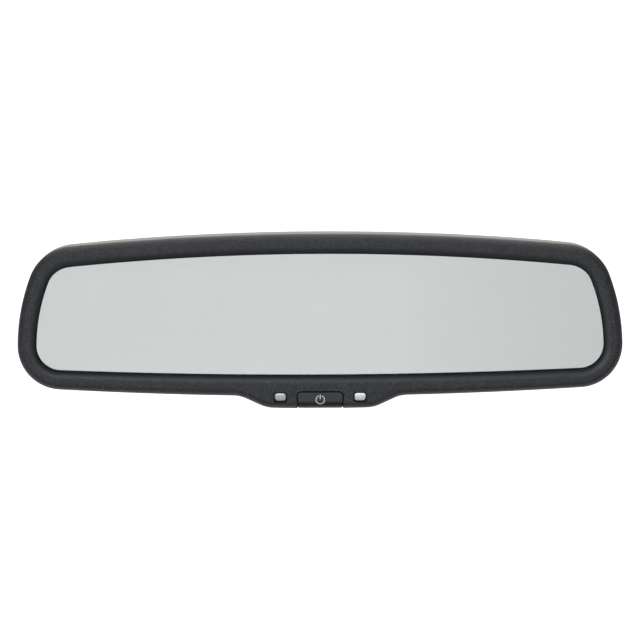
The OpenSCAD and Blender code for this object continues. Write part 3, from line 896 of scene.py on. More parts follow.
def meet(first: Vector, first_radius: float, second: Vector, second_radius: float) -> Vector:
    """Point at given distances from two centres, on the right of the way between them.

    Args:
        first: The first centre.
        first_radius: Distance from the first centre.
        second: The second centre.
        second_radius: Distance from the second centre.

    Returns:
        The point.
    """
    way = second - first
    gap = way.length
    along = way / gap
    k = (first_radius ** 2 - second_radius ** 2 + gap ** 2) / (2 * gap)
    return first + along * k - Vector((-along.y, along.x)) * math.sqrt(first_radius ** 2 - k ** 2)


@dataclass(frozen=True)
class Arc:
    """An arc of an outline, with its angles in radians."""

    centre: Vector
    radius: float
    start: float
    end: float

    def station(self, share: float) -> Station:
        """Point on the arc, and the direction inward.

        Args:
            share: Place on the arc, from 0 at its start to 1 at its end.

        Returns:
            The point and the direction.
        """
        angle = self.start + (self.end - self.start) * share
        out = Vector((math.cos(angle), math.sin(angle)))
        return self.centre + out * self.radius, -out


@dataclass(frozen=True)
class Outline:
    """Right half of an outline: five touching arcs from mid top to mid bottom."""

    half: float
    top: float
    top_bow: float
    upper: float
    side_bow: float
    side_z: float
    lower: float
    low_bow: float
    bottom: float

    def arcs(self) -> list[Arc]:
        """Works out the arcs.

        Returns:
            The five arcs, from mid top to mid bottom.
        """
        top = Vector((0.0, self.top - self.top_bow))
        side = Vector((self.half - self.side_bow, self.side_z))
        low = Vector((0.0, self.bottom + self.low_bow))
        up = meet(top, self.top_bow - self.upper, side, self.side_bow - self.upper)
        down = meet(side, self.side_bow - self.lower, low, self.low_bow - self.lower)

        ways = (up - top, up - side, down - side, down - low)
        turns = [math.pi / 2, *(math.atan2(way.y, way.x) for way in ways), -math.pi / 2]
        centres = [top, up, side, down, low]
        radii = [self.top_bow, self.upper, self.side_bow, self.lower, self.low_bow]
        return [Arc(c, r, a, b) for c, r, a, b in zip(centres, radii, turns, turns[1:])]


@dataclass(frozen=True)
class Chin:
    """The drop-down chin of the bezel."""

    half: float = 19.5
    drop: float = 5.1
    slope: float = math.radians(24)
    blend: float = 14.5
    crown: float = 0.15

    @property
    def ends(self) -> list[float]:
        """Half widths where the flat, the blends and the flank end."""
        run = self.blend * math.sin(self.slope)
        flank = (self.drop - 2 * self.blend * (1 - math.cos(self.slope))) / math.tan(self.slope)
        return [self.half, self.half + run, self.half + run + flank, self.half + 2 * run + flank]

    def fall(self, x: float) -> Place:
        """Drop of the edge at a place, and how fast it changes.

        Args:
            x: Distance from the middle.

        Returns:
            The drop and its rate.
        """
        ends = self.ends
        if x < ends[0]:
            return (self.drop + self.crown * (1 - (x / self.half) ** 2),
                    -2 * self.crown * x / self.half ** 2)
        if x < ends[1]:
            root = math.sqrt(self.blend ** 2 - (x - self.half) ** 2)
            return self.drop - self.blend + root, -(x - self.half) / root
        if x < ends[2]:
            start = self.drop - self.blend * (1 - math.cos(self.slope))
            return start - (x - ends[1]) * math.tan(self.slope), -math.tan(self.slope)
        if x < ends[3]:
            root = math.sqrt(self.blend ** 2 - (ends[3] - x) ** 2)
            return self.blend - root, -(ends[3] - x) / root
        return 0.0, 0.0


@dataclass
class HeadShape:
    """Outlines that the bezel, housing and glass share, with stations that match."""

    outer: Outline = Outline(
        half=128.0, top=33.7, top_bow=1145.0, upper=19.3, side_bow=85.5, side_z=-14.5,
        lower=18.5, low_bow=1860.0, bottom=-35.1)
    glass: Outline = Outline(
        half=120.1, top=25.6, top_bow=1085.0, upper=11.4, side_bow=77.6, side_z=-15.0,
        lower=10.3, low_bow=2580.0, bottom=-26.05)
    chin: Chin = Chin()
    arc_steps: tuple[int, ...] = (28, 40, 18, 36)
    low_steps: tuple[int, ...] = (12, 12, 10, 14, 14)
    chin_z: float = -40.2

    def _low_end(self, outline: Outline) -> float:
        """Half width at which the bottom edge starts."""
        return outline.arcs()[3].station(1.0)[0].x

    def edge(self, outline: Outline, chin: float = 0.0) -> list[Station]:
        """Stations round an outline.

        Args:
            outline: The outline.
            chin: Share of the chin's drop that is added.

        Returns:
            Points, each with the direction inward.
        """
        arcs = outline.arcs()
        half = [arc.station(i / n) for arc, n in zip(arcs, self.arc_steps) for i in range(n)]
        end, last = self._low_end(outline), arcs[4]
        marks = [1.0] + [x / self._low_end(self.outer) for x in reversed(self.chin.ends)] + [0.0]
        shares = [a + (b - a) * i / n for a, b, n in zip(marks, marks[1:], self.low_steps)
                  for i in range(n)] + [0.0]
        for share in shares:
            x = share * end
            height = math.sqrt(last.radius ** 2 - x * x)
            drop, rate = self.chin.fall(x)
            slope = x / height - chin * rate
            half.append((Vector((x, last.centre.y - height - chin * drop)),
                         Vector((-slope, 1.0)).normalized()))
        left = [(Vector((-p.x, p.y)), Vector((-n.x, n.y))) for p, n in half[-2:0:-1]]
        return half + left

    @staticmethod
    def ring(edge: Sequence[Station], inward: float, y: float) -> list[Vector]:
        """Ring of an outline moved inward, at a depth y of the head."""
        return [GLASS_AT + Vector((p.x + inward * n.x, y, p.y + inward * n.y)) for p, n in edge]


SHAPE = HeadShape()


# ---- bezel, housing, glass -----------------------------------------------------------


@dataclass
class Bezel:
    """One moulded ring with a rounded front, a chin, a button notch and two windows."""

    crown: float = 2.6
    lip: float = 0.5
    seam: float = 5.0
    flank_w: float = 3.4
    edge_w: float = 3.4
    edge_y: float = 1.6
    rail_in: float = 3.3
    rail_out: float = 1.9
    rail_back: float = 8.2
    window_x: float = 17.0
    window_z: float = -35.1
    window_size: Place = (5.5, 3.8)
    notch_gap: float = 0.5
    notch_deep: Place = (-4.0, 4.2)

    def profile_y(self, above: float) -> float:
        """Depth of the bezel's front at the chin.

        Args:
            above: Height above the outer edge of the bezel.

        Returns:
            The depth, less than 0 in front of the glass.
        """
        if above >= self.edge_w:
            return -self.crown
        turn = math.acos(max(0.0, 1 - above / self.edge_w))
        return self.edge_y - (self.crown + self.edge_y) * math.sin(turn)

    def rings(self) -> list[list[Vector]]:
        """Works out the rings of the skin.

        Returns:
            The rings, from the lip on the glass round to the back.
        """
        outer, glass = SHAPE.edge(SHAPE.outer, 1.0), SHAPE.edge(SHAPE.glass)
        rows = []
        for turn in spread(0.0, math.pi / 2, 13):
            rows.append(SHAPE.ring(glass, -self.flank_w * (1 - math.cos(turn)),
                                   -self.lip - (self.crown - self.lip) * math.sin(turn)))
        for turn in spread(math.pi / 2, 0.0, 14):
            rows.append(SHAPE.ring(outer, self.edge_w * (1 - math.cos(turn)),
                                   self.edge_y - (self.crown + self.edge_y) * math.sin(turn)))
        for inward, y in ((0.0, self.seam - 0.3), (0.08, self.seam - 0.08), (0.3, self.seam),
                          (self.rail_out, self.seam), (self.rail_out, self.rail_back),
                          (self.rail_in, self.rail_back), (self.rail_in, 0.0)):
            rows.append(SHAPE.ring(outer, inward, y))
        rows.append(SHAPE.ring(glass, 0.0, 0.0))
        rows.append(SHAPE.ring(glass, 0.0, -self.lip * 0.5))
        return rows

    def notch(self) -> bpy.types.Object:
        """Cutter of the button's notch."""
        outline = ButtonCap().outline(self.notch_gap, SHAPE.chin_z - 2)
        return to_object("notch", prism(outline, [(y, 0.0) for y in self.notch_deep], GLASS_AT))

    def window(self, side: int, grow: float) -> list[Place]:
        """Outline of a window, whose outer edge leans inward at the bottom.

        Args:
            side: 1 on the right, -1 on the left.
            grow: How far the outline is moved outward.

        Returns:
            The outline, measured from the window's centre.
        """
        w, h = (v / 2 + grow for v in self.window_size)
        low = -h - max(0.0, grow + 0.2)
        corners = [(-w, h, 1.0), (w, h, 1.0), (w - 0.5, low, 1.0), (-w, low, 0.9)]
        return [(side * x, z) for x, z in rounded(corners, 6)]

    def window_at(self, side: int) -> Vector:
        """Centre of a window."""
        return GLASS_AT + Vector((side * self.window_x, 0, self.window_z))

    def cutters(self) -> list[bpy.types.Object]:
        """Makes the cutters of the notch, the windows and the fine groove below each window.

        Returns:
            The cutters.
        """
        flare = [(-3.4, -0.7), (-2.62, -0.42), (-2.42, -0.16), (-2.1, 0.0), (1.2, 0.0)]
        w, h, r = 2.35, 0.17, 0.1
        groove = rounded([(-w, h, r), (w, h, r), (w, -h, r), (-w, -h, r)], 3)
        groove_rows = [(-3.2, -0.06), (-2.6, -0.06), (-2.4, 0.04)]
        below = Vector((0.0, 0.0, -3.1))
        made = [self.notch()]
        for side in (-1, 1):
            at = self.window_at(side)
            made.append(to_object("hole", prism(self.window(side, 0.0), flare, at)))
            made.append(to_object("groove", prism(groove, groove_rows, at + below)))
        return made

    def mark_inset(self, piece: bpy.types.Object) -> None:
        """Stores how far each point is outside the clear glass, in millimetres.

        Args:
            piece: The bezel.
        """
        edge = [p for p, _ in SHAPE.edge(SHAPE.glass)]
        marks = [first.lerp(second, share) for first, second in zip(edge, edge[1:] + edge[:1])
                 for share in (0.0, 0.25, 0.5, 0.75)]
        tree = KDTree(len(marks))
        for i, mark in enumerate(marks):
            tree.insert((mark.x, 0.0, mark.y), i)
        tree.balance()
        points = [vertex.co / MM - GLASS_AT for vertex in piece.data.vertices]
        layer = piece.data.attributes.new("inset", "FLOAT", "POINT")
        layer.data.foreach_set("value", [tree.find((p.x, 0.0, p.z))[2] for p in points])

    def build(self) -> None:
        """Builds and dresses the bezel."""
        piece = cut(to_object("bezel_skin", loft(self.rings())), self.cutters())
        shade(piece, 28.0)
        self.mark_inset(piece)
        settle(piece, Body.HEAD, "bezel_plastic", "bezel")


@dataclass
class Housing:
    """Light rear shell, open in the middle of its back for the cover."""

    depth: float = 28.0
    wall: float = 2.2
    seam: float = Bezel.seam
    inset: float = 14.0
    lean: float = 0.45
    sweep: float = 6.0
    rail_out: float = Bezel.rail_out
    rail_back: float = Bezel.rail_back
    cover_half: float = 71.55
    cover_top: float = 15.0
    ledge: float = 2.2
    split: float = 26.9
    pull: float = 16.0 / 14.0

    def cover_edge(self, out: float) -> list[Station]:
        """Works out the cover's outline.

        Args:
            out: How far the outline is moved outward.

        Returns:
            Points, each with the direction inward.
        """
        return SHAPE.edge(Outline(
            half=self.cover_half + out, top=self.cover_top + out, top_bow=900.0,
            upper=7.0 + out, side_bow=60.0 + out, side_z=0.0, lower=7.0 + out, low_bow=900.0,
            bottom=-self.cover_top - out))

    def back_y(self, x: float) -> float:
        """Depth of the back, which sweeps forward at the ends.

        Args:
            x: Distance from the middle.

        Returns:
            The depth.
        """
        flat = self.cover_half + self.ledge + 1.0
        share = max(0.0, abs(x) - flat) / (SHAPE.outer.half - flat)
        return self.depth - self.sweep * share ** 2

    def ring(self, turn: float, inside: float) -> list[Vector]:
        """Ring of the shell.

        Args:
            turn: Angle of the ring, 0 at the seam and a right angle at the back.
            inside: How far the ring lies inside the outer face.

        Returns:
            The points of the ring.
        """
        k = math.sqrt(math.sin(turn))
        full = self.lean + (1 - self.lean) * math.sin(turn) ** 2
        q = self.inset * full * (1 - math.sqrt(max(0.0, math.cos(turn))))
        points = []
        for p, n in SHAPE.edge(SHAPE.outer, (1 - k) ** 1.5):
            x = p.x + (inside + q * self.pull) * n.x
            y = self.seam + (self.back_y(x) - inside - self.seam) * k
            points.append(GLASS_AT + Vector((x, y, p.y + (inside + q) * n.y)))
        return points

    def build(self) -> None:
        """Builds and dresses the shell."""
        outer = SHAPE.edge(SHAPE.outer, 1.0)
        inner_cover, outer_cover = self.cover_edge(0.0), self.cover_edge(self.ledge)
        near = math.radians(11.25)
        rings = [SHAPE.ring(inner_cover, 0.0, self.split),
                 SHAPE.ring(inner_cover, 0.0, self.depth - self.wall)]
        rings += [self.ring(turn, self.wall) for turn in spread(math.pi / 2, near, 9)]
        rings += [SHAPE.ring(outer, self.rail_out, self.rail_back + 0.3),
                  SHAPE.ring(outer, self.rail_out, self.seam),
                  SHAPE.ring(outer, 0.32, self.seam), SHAPE.ring(outer, 0.17, self.seam + 0.08)]
        rings += [self.ring(math.radians(a), 0.0) for a in (0.6, 1.6, 3.0, 5.0, 8.0)]
        rings += [self.ring(turn, 0.0) for turn in spread(near, math.pi / 2, 25)]
        rings += [SHAPE.ring(outer_cover, -0.12, self.depth),
                  SHAPE.ring(outer_cover, 0.0, self.depth - 0.12),
                  SHAPE.ring(outer_cover, 0.0, self.split)]
        piece = to_object("housing_shell", loft(rings), 38.0)
        settle(piece, Body.HEAD, "housing_plastic", "rear_housing")


@dataclass
class GlassCell:
    """Front pane of the mirror; the coated glass behind it keeps its CAD mesh."""

    thickness: float = 1.72
    out: float = 3.5
    soft: float = 0.25

    def build(self) -> None:
        """Builds and dresses the pane."""
        edge = SHAPE.edge(SHAPE.glass)
        rows = [(0.0, self.soft), (self.soft, 0.0), (self.thickness - self.soft, 0.0),
                (self.thickness, self.soft)]
        rings = [SHAPE.ring(edge, inward - self.out, y) for y, inward in rows]
        piece = to_object("glass_pane", loft(rings, False, True), 20.0)
        settle(piece, Body.HEAD, "clear_glass", "front_glass", "ec_gel")


@dataclass
class Windows:
    """The two windows of the chin and the light window of the cover."""

    face_y: float = -1.68
    dome: float = 0.22
    gap: float = 0.34
    lift: float = 0.1
    foot: float = 0.62
    ambient_at: Place = (34.829, 8.256)

    def lens(self, name: str, side: int, slot: str, node: str, back: float) -> None:
        """Builds one window of the chin: a domed face with rounded edges and a foot.

        Args:
            name: Name of the piece.
            side: 1 on the right, -1 on the left.
            slot: Material slot that it takes its finish from.
            node: CAD node that it stands for.
            back: Depth of the foot's end.
        """
        bezel = Bezel()
        outline = bezel.window(side, -self.gap)
        at = bezel.window_at(side) + Vector((0.0, 0.0, self.lift))
        rows = [(self.face_y - self.dome * math.sqrt(1.0 - share ** 5), share)
                for share in (0.04, 0.3, 0.6, 0.8, 0.92, 0.97, 0.993, 1.0)]
        rows += [(0.0, 1.0), (0.02, self.foot), (back, self.foot)]
        rings = [[at + Vector((x * share, y, z * share)) for x, z in outline]
                 for y, share in rows]
        piece = to_object(name, loft(rings, False, True), 40.0)
        settle(piece, Body.HEAD, slot, node)

    def build(self) -> None:
        """Builds and dresses the windows."""
        self.lens("indicator_window", -1, "lens_grey", "indicator_lens", 7.0)
        self.lens("glare_window", 1, "lens_clear", "glare_lens", 6.8)
        at = GLASS_AT + Vector((self.ambient_at[0], 0, self.ambient_at[1]))
        dome = [(0.0, 28.5)] + [(3.0 * math.sin(a), 28.1 + 0.4 * math.cos(a))
                                for a in spread(0.12, math.pi / 2, 9)]
        profile = dome + [(3.0, 25.8), (4.5, 25.8), (4.5, 24.6), (3.0, 24.6), (3.0, 12.2),
                          (2.8, 12.05), (0.0, 12.05)]
        piece = to_object("ambient_window", lathe(profile, at, 64, False), 35.0)
        settle(piece, Body.HEAD, "lens_clear", "ambient_lens")


# ---- power button --------------------------------------------------------------------


@dataclass
class ButtonCap:
    """Key in the chin's notch: its face follows the bezel, with a power sign on it."""

    half: float = 9.7
    lean: float = 0.7
    top: float = -33.0
    corner: float = 1.6
    back: float = 3.0
    soft: float = 0.22
    slack: float = 0.08
    sign_z: float = -36.1

    def outline(self, grow: float, low: float) -> list[Place]:
        """Outline of the key in x and z, from its lower left corner round its top.

        Args:
            grow: How far the outline is moved outward.
            low: Height of the lower corners.

        Returns:
            The outline, measured from the middle of the glass.
        """
        w, z, r = self.half + grow, self.top + grow, self.corner + grow
        corners = [(-w + self.lean, low, 0.0), (-w, z, r), (w, z, r), (w - self.lean, low, 0.0)]
        return rounded(corners, 10)

    def half_at(self, z: float) -> float:
        """Half width of the key.

        Args:
            z: Height on the key.

        Returns:
            The half width, which shrinks below the top corners and round them.
        """
        shoulder = self.top - self.corner
        fall, rise = max(0.0, shoulder - z), max(0.0, z - shoulder)
        straight = self.half - self.slack - self.lean * fall / (shoulder - SHAPE.chin_z + 2.0)
        return straight - self.corner + math.sqrt(max(0.0, self.corner ** 2 - rise ** 2))

    def face_y(self, z: float, bezel: Bezel) -> float:
        """Depth of the key's face at a height z, flush with the bezel's front."""
        return bezel.profile_y(z - SHAPE.chin_z)

    def build(self) -> None:
        """Builds and dresses the key and its sign."""
        bezel = Bezel()
        low = SHAPE.chin_z
        rows = [self.top - self.corner * (1 - math.cos(a)) for a in spread(0.0, math.pi / 2, 10)]
        rows += spread(self.top - self.corner, low + bezel.edge_w, 12)[1:]
        rows += [low + bezel.edge_w * (1 - math.cos(a)) for a in spread(math.pi / 2, 0.0, 16)[1:]]
        columns = spread(-1.0, 1.0, 61)
        mesh = bmesh.new()
        grid = []
        for z in rows:
            width = self.half_at(z)
            line = []
            for c in columns:
                x = width * math.sin(c * math.pi / 2)
                near = min(width - abs(x), self.top - z)
                gap = max(0.0, 1 - near / self.soft)
                y = self.face_y(z, bezel) + self.soft * (1 - math.sqrt(max(0.0, 1 - gap ** 2)))
                line.append(mesh.verts.new(GLASS_AT + Vector((x, min(y, self.back - 0.1), z))))
            grid.append(line)
        for upper, lower in zip(grid, grid[1:]):
            for i in range(len(columns) - 1):
                mesh.faces.new((upper[i], upper[i + 1], lower[i + 1], lower[i]))
        rim = grid[0] + [line[-1] for line in grid[1:]] + grid[-1][-2::-1] + [
            line[0] for line in grid[-2:0:-1]]
        rear = [mesh.verts.new((v.co.x, GLASS_AT.y + self.back, v.co.z)) for v in rim]
        for i in range(len(rim)):
            j = (i + 1) % len(rim)
            mesh.faces.new((rim[i], rim[j], rear[j], rear[i]))
        mesh.faces.new(rear)
        bmesh.ops.recalc_face_normals(mesh, faces=mesh.faces)
        settle(to_object("button_cap", mesh, 40.0), Body.BUTTON, "button_plastic", "power_button")
        self.sign(bezel)

    def sign(self, bezel: Bezel) -> None:
        """Builds the ring and bar of the power sign on the key's face.

        Args:
            bezel: The bezel, whose front the key follows.
        """
        mesh = bmesh.new()
        outer, inner, half_gap, half_bar = 1.96, 1.57, 0.7, 0.2
        gap = math.asin(half_gap / 1.77)
        hoop = [[(r * math.sin(a), r * math.cos(a)) for r in (outer, inner)]
                for a in spread(gap, 2 * math.pi - gap, 49)]
        self.stroke(mesh, hoop, bezel)
        bar = [[(-half_bar, z), (half_bar, z)] for z in spread(2.15, 0.25, 9)]
        self.stroke(mesh, bar, bezel)
        bmesh.ops.recalc_face_normals(mesh, faces=mesh.faces)
        settle(to_object("power_sign", mesh, 40.0), Body.BUTTON, "symbol_ink", "power_symbol")

    def stroke(self, mesh: bmesh.types.BMesh, pairs: Sequence[list[Place]],
               bezel: Bezel) -> None:
        """Adds one stroke of the sign, from just in front of the face to just behind it.

        Args:
            mesh: Mesh of the sign.
            pairs: Left and right edge points along the stroke, from the sign's centre.
            bezel: The bezel, whose front the key follows.
        """
        rings = []
        for pair in pairs:
            ring = [(x, z + self.sign_z, -0.02) for x, z in pair]
            ring += [(x, z + self.sign_z, 0.12) for x, z in pair[::-1]]
            rings.append([GLASS_AT + Vector((x, self.face_y(z, bezel) + depth, z))
                          for x, z, depth in ring])
        skin(mesh, rings, False, True)


# ---- repeated pieces -----------------------------------------------------------------


class Repeater:
    """Geometry Nodes tree that repeats a part and joins the copies into one mesh."""

    def __init__(self, name: str, sizes: dict[str, float]) -> None:
        """Starts a tree with named inputs.

        Args:
            name: Name of the tree.
            sizes: Name and value of each number that the tree takes.
        """
        self.tree = bpy.data.node_groups.new(name, "GeometryNodeTree")
        self.sizes = sizes
        self.keys: dict[str, str] = {}
        self.tree.interface.new_socket("Geometry", in_out="OUTPUT",
                                       socket_type="NodeSocketGeometry")
        for size in sizes:
            item = self.tree.interface.new_socket(size, in_out="INPUT",
                                                  socket_type="NodeSocketFloat")
            self.keys[size] = item.identifier
        self.start = self.tree.nodes.new("NodeGroupInput")
        self.end = self.tree.nodes.new("NodeGroupOutput")

    def add(self, kind: str, settings: Optional[dict[str, Any]] = None,
            inputs: Optional[dict[Union[int, str], Any]] = None,
            output: Union[int, str] = 0) -> bpy.types.NodeSocket:
        """Adds a node: settings first, then socket values or links.

        Args:
            kind: The node's type.
            settings: Attributes of the node.
            inputs: Socket name or number to a value or a socket.
            output: Name or number of the output that is returned.

        Returns:
            The output socket.
        """
        node = self.tree.nodes.new(kind)
        for name, value in (settings or {}).items():
            setattr(node, name, value)
        for key, value in (inputs or {}).items():
            if isinstance(value, bpy.types.NodeSocket):
                self.tree.links.new(value, node.inputs[key])
            else:
                node.inputs[key].default_value = value
        return node.outputs[output]

    def size(self, name: str) -> bpy.types.NodeSocket:
        """A named input of the tree."""
        return self.start.outputs[name]

    def calc(self, operation: str, first: Any, second: Any) -> bpy.types.NodeSocket:
        """Adds a Math node on two numbers or sockets."""
        return self.add("ShaderNodeMath", {"operation": operation}, {0: first, 1: second})

    def moved(self, geometry: bpy.types.NodeSocket, **how: Any) -> bpy.types.NodeSocket:
        """Geometry with a Translation or a Rotation."""
        return self.add("GeometryNodeTransform", {}, {"Geometry": geometry, **how})

    def vector(self, x: Any, y: Any, z: Any) -> bpy.types.NodeSocket:
        """Joins three numbers into a vector."""
        return self.add("ShaderNodeCombineXYZ", {}, {0: x, 1: y, 2: z})

    def finish(self, geometry: bpy.types.NodeSocket, name: str, slot: str) -> bpy.types.Object:
        """Ends the tree, runs it on an empty mesh and bakes the result.

        Args:
            geometry: The geometry with its instances.
            name: Name of the object.
            slot: Material slot of the copies.

        Returns:
            An object with one plain mesh.
        """
        real = self.add("GeometryNodeRealizeInstances", {}, {0: geometry})
        dressed = self.add("GeometryNodeSetMaterial", {},
                           {"Geometry": real, "Material": PAINT.material(slot)})
        self.tree.links.new(dressed, self.end.inputs[0])
        thing = linked(name, bpy.data.meshes.new(name))
        modifier = thing.modifiers.new("repeat", "NODES")
        modifier.node_group = self.tree
        for size, value in self.sizes.items():
            modifier[self.keys[size]] = value
        return baked(thing)


@dataclass
class Connector:
    """Contact pins of the harness connector, two rows of five with tapered tips."""

    x: float = -43.236
    z: float = 7.255
    pitch: float = 2.54
    width: float = 0.64
    tip: float = 0.8
    taper: float = 0.35
    base_y: float = 10.25
    tip_y: float = 23.4

    def build(self) -> None:
        """Builds and dresses the pins."""
        at = (GLASS_AT + Vector((self.x, self.base_y, self.z))) * MM
        tree = Repeater("pin_rows", {
            "Pitch": self.pitch * MM, "Width": self.width * MM,
            "Length": (self.tip_y - self.base_y) * MM, "Tip": self.tip * MM})
        tip = tree.size("Tip")
        shank = tree.calc("SUBTRACT", tree.size("Length"), tip)
        corner, point = (tree.calc("MULTIPLY", tree.size("Width"), share)
                         for share in (math.sqrt(0.5), self.taper))
        body, end = (tree.add("GeometryNodeMeshCone", {"fill_type": "NGON"}, {
            "Vertices": 4, "Side Segments": 1, "Fill Segments": 1, "Radius Top": top,
            "Radius Bottom": corner, "Depth": depth})
            for top, depth in ((corner, shank), (point, tip)))
        raised = tree.moved(end, Translation=tree.vector(0.0, 0.0, shank))
        pin = tree.add("GeometryNodeJoinGeometry")
        for part in (body, raised):
            tree.tree.links.new(part, pin.node.inputs[0])
        turned = tree.moved(pin, Rotation=(-math.pi / 2, 0.0, 0.0))
        square = tree.moved(turned, Rotation=(0.0, math.pi / 4, 0.0))
        places = tree.add("GeometryNodeMeshGrid", {}, {
            "Size X": tree.calc("MULTIPLY", tree.size("Pitch"), 4.0),
            "Size Y": tree.size("Pitch"), "Vertices X": 5, "Vertices Y": 2})
        upright = tree.moved(places, Rotation=(math.pi / 2, 0.0, 0.0), Translation=at)
        copies = tree.add("GeometryNodeInstanceOnPoints", {},
                          {"Points": upright, "Instance": square})
        piece = tree.finish(copies, "contact_pins", "pin_gold")
        shade(piece, 20.0)
        settle(piece, Body.HEAD, "pin_gold", "connector_pins")


@dataclass
class Arm:
    """Arm between the balls: its sleeve has a waist at each end and moulded grip rings."""

    length: float = 48.0
    gap: float = 14.5
    tube: float = 4.0
    low: float = 6.2
    high: float = 7.0
    waist: float = 2.2
    belly: float = 5.2
    rings: int = 5
    ring_pitch: float = 1.9
    bead: float = 0.38

    def build(self) -> None:
        """Builds and dresses the sleeve and its grip rings."""
        first, last, middle = self.gap, self.length - self.gap, self.length / 2
        corners = [(self.tube + 0.02, first, 0.1), (self.low - 0.2, first, 0.4),
                   (self.low + 0.2, first + self.waist, 0.8),
                   (self.high, middle - self.belly, 1.5), (self.high, middle + self.belly, 1.5),
                   (self.low + 0.2, last - self.waist, 0.8),
                   (self.low - 0.2, last, 0.4), (self.tube + 0.02, last, 0.1)]
        piece = to_object("arm_boot", lathe(rounded(corners, 6), HEAD_BALL_AT, 96), 40.0)
        settle(piece, Body.ARM, "sleeve_plastic", "arm_sleeve")
        tree = Repeater("grip_rings", {
            "Count": float(self.rings), "Pitch": self.ring_pitch * MM,
            "Ring Radius": self.high * MM, "Bead Radius": self.bead * MM})
        hoop = tree.add("GeometryNodeCurvePrimitiveCircle", {}, {
            "Resolution": 72, "Radius": tree.size("Ring Radius")})
        bead = tree.add("GeometryNodeCurvePrimitiveCircle", {}, {
            "Resolution": 10, "Radius": tree.size("Bead Radius")})
        ring = tree.add("GeometryNodeCurveToMesh", {}, {0: hoop, 1: bead})
        upright = tree.moved(ring, Rotation=(math.pi / 2, 0.0, 0.0))
        run = tree.calc("MULTIPLY", tree.size("Pitch"),
                        tree.calc("SUBTRACT", tree.size("Count"), 1.0))
        centre = (HEAD_BALL_AT + Vector((0.0, middle, 0.0))) * MM
        half = tree.calc("MULTIPLY", run, 0.5)
        start, end = (tree.vector(centre.x, tree.calc(way, centre.y, half), centre.z)
                      for way in ("SUBTRACT", "ADD"))
        line = tree.add("GeometryNodeCurvePrimitiveLine", {}, {"Start": start, "End": end})
        points = tree.add("GeometryNodeCurveToPoints", {"mode": "COUNT"}, {
            "Curve": line, "Count": tree.size("Count")})
        copies = tree.add("GeometryNodeInstanceOnPoints", {},
                          {"Points": points, "Instance": upright})
        rings = tree.finish(copies, "grip_rings", "sleeve_plastic")
        shade(rings, 60.0)
        settle(rings, Body.ARM, "sleeve_plastic")


@dataclass
class Foot:
    """Screw cap of the foot's socket, with twelve finger flutes round its edge."""

    radius: float = 15.4
    bore: float = 13.0
    front: float = -6.4
    skirt: float = 5.0
    flutes: int = 12
    flute_r: float = 1.3
    flute_out: float = 0.7
    pocket: float = 10.0
    mouth: float = math.radians(62)

    def rim(self, angle: float, grow: float) -> float:
        """Radius of the cap's edge, with a flute at every twelfth of a turn.

        Args:
            angle: Angle round the cap.
            grow: How far the edge is moved outward.

        Returns:
            The radius.
        """
        pitch = 2 * math.pi / self.flutes
        off = (angle + pitch / 2) % pitch - pitch / 2
        centre = self.radius + self.flute_out
        side = centre * math.sin(off)
        if abs(side) < self.flute_r:
            dip = centre * math.cos(off) - math.sqrt(self.flute_r ** 2 - side ** 2)
            return min(self.radius, dip) + grow
        return self.radius + grow

    def build(self) -> None:
        """Builds and dresses the cap."""
        steps = 360
        turns = [2 * math.pi * i / steps for i in range(steps)]
        rows = [(self.front, -2.3), (self.front + 0.12, -1.75), (self.front + 0.5, -1.1),
                (self.front + 1.1, -0.4), (self.front + 1.9, 0.0), (self.skirt - 0.4, 0.0),
                (self.skirt, -0.4)]
        rings = [[FOOT_BALL_AT + Vector((
            self.rim(a, grow) * math.cos(a), y, self.rim(a, grow) * math.sin(a))) for a in turns]
            for y, grow in rows]
        mouth = self.mouth
        inner = [(self.bore, self.skirt), (self.bore, -0.5)]
        inner += [(self.pocket * math.cos(a), -self.pocket * math.sin(a))
                  for a in spread(0.05, math.pi / 2 - mouth, 8)]
        inner += [(self.pocket * math.sin(mouth) + 0.5, -self.pocket * math.cos(mouth) - 0.35),
                  (-self.front * math.tan(mouth) - 0.1, self.front)]
        rings += [circle(FOOT_BALL_AT, radius, y, steps) for radius, y in inner]
        piece = to_object("foot_cap", loft(rings), 35.0)
        settle(piece, Body.MOUNT, "cap_plastic", "foot_socket_cap")


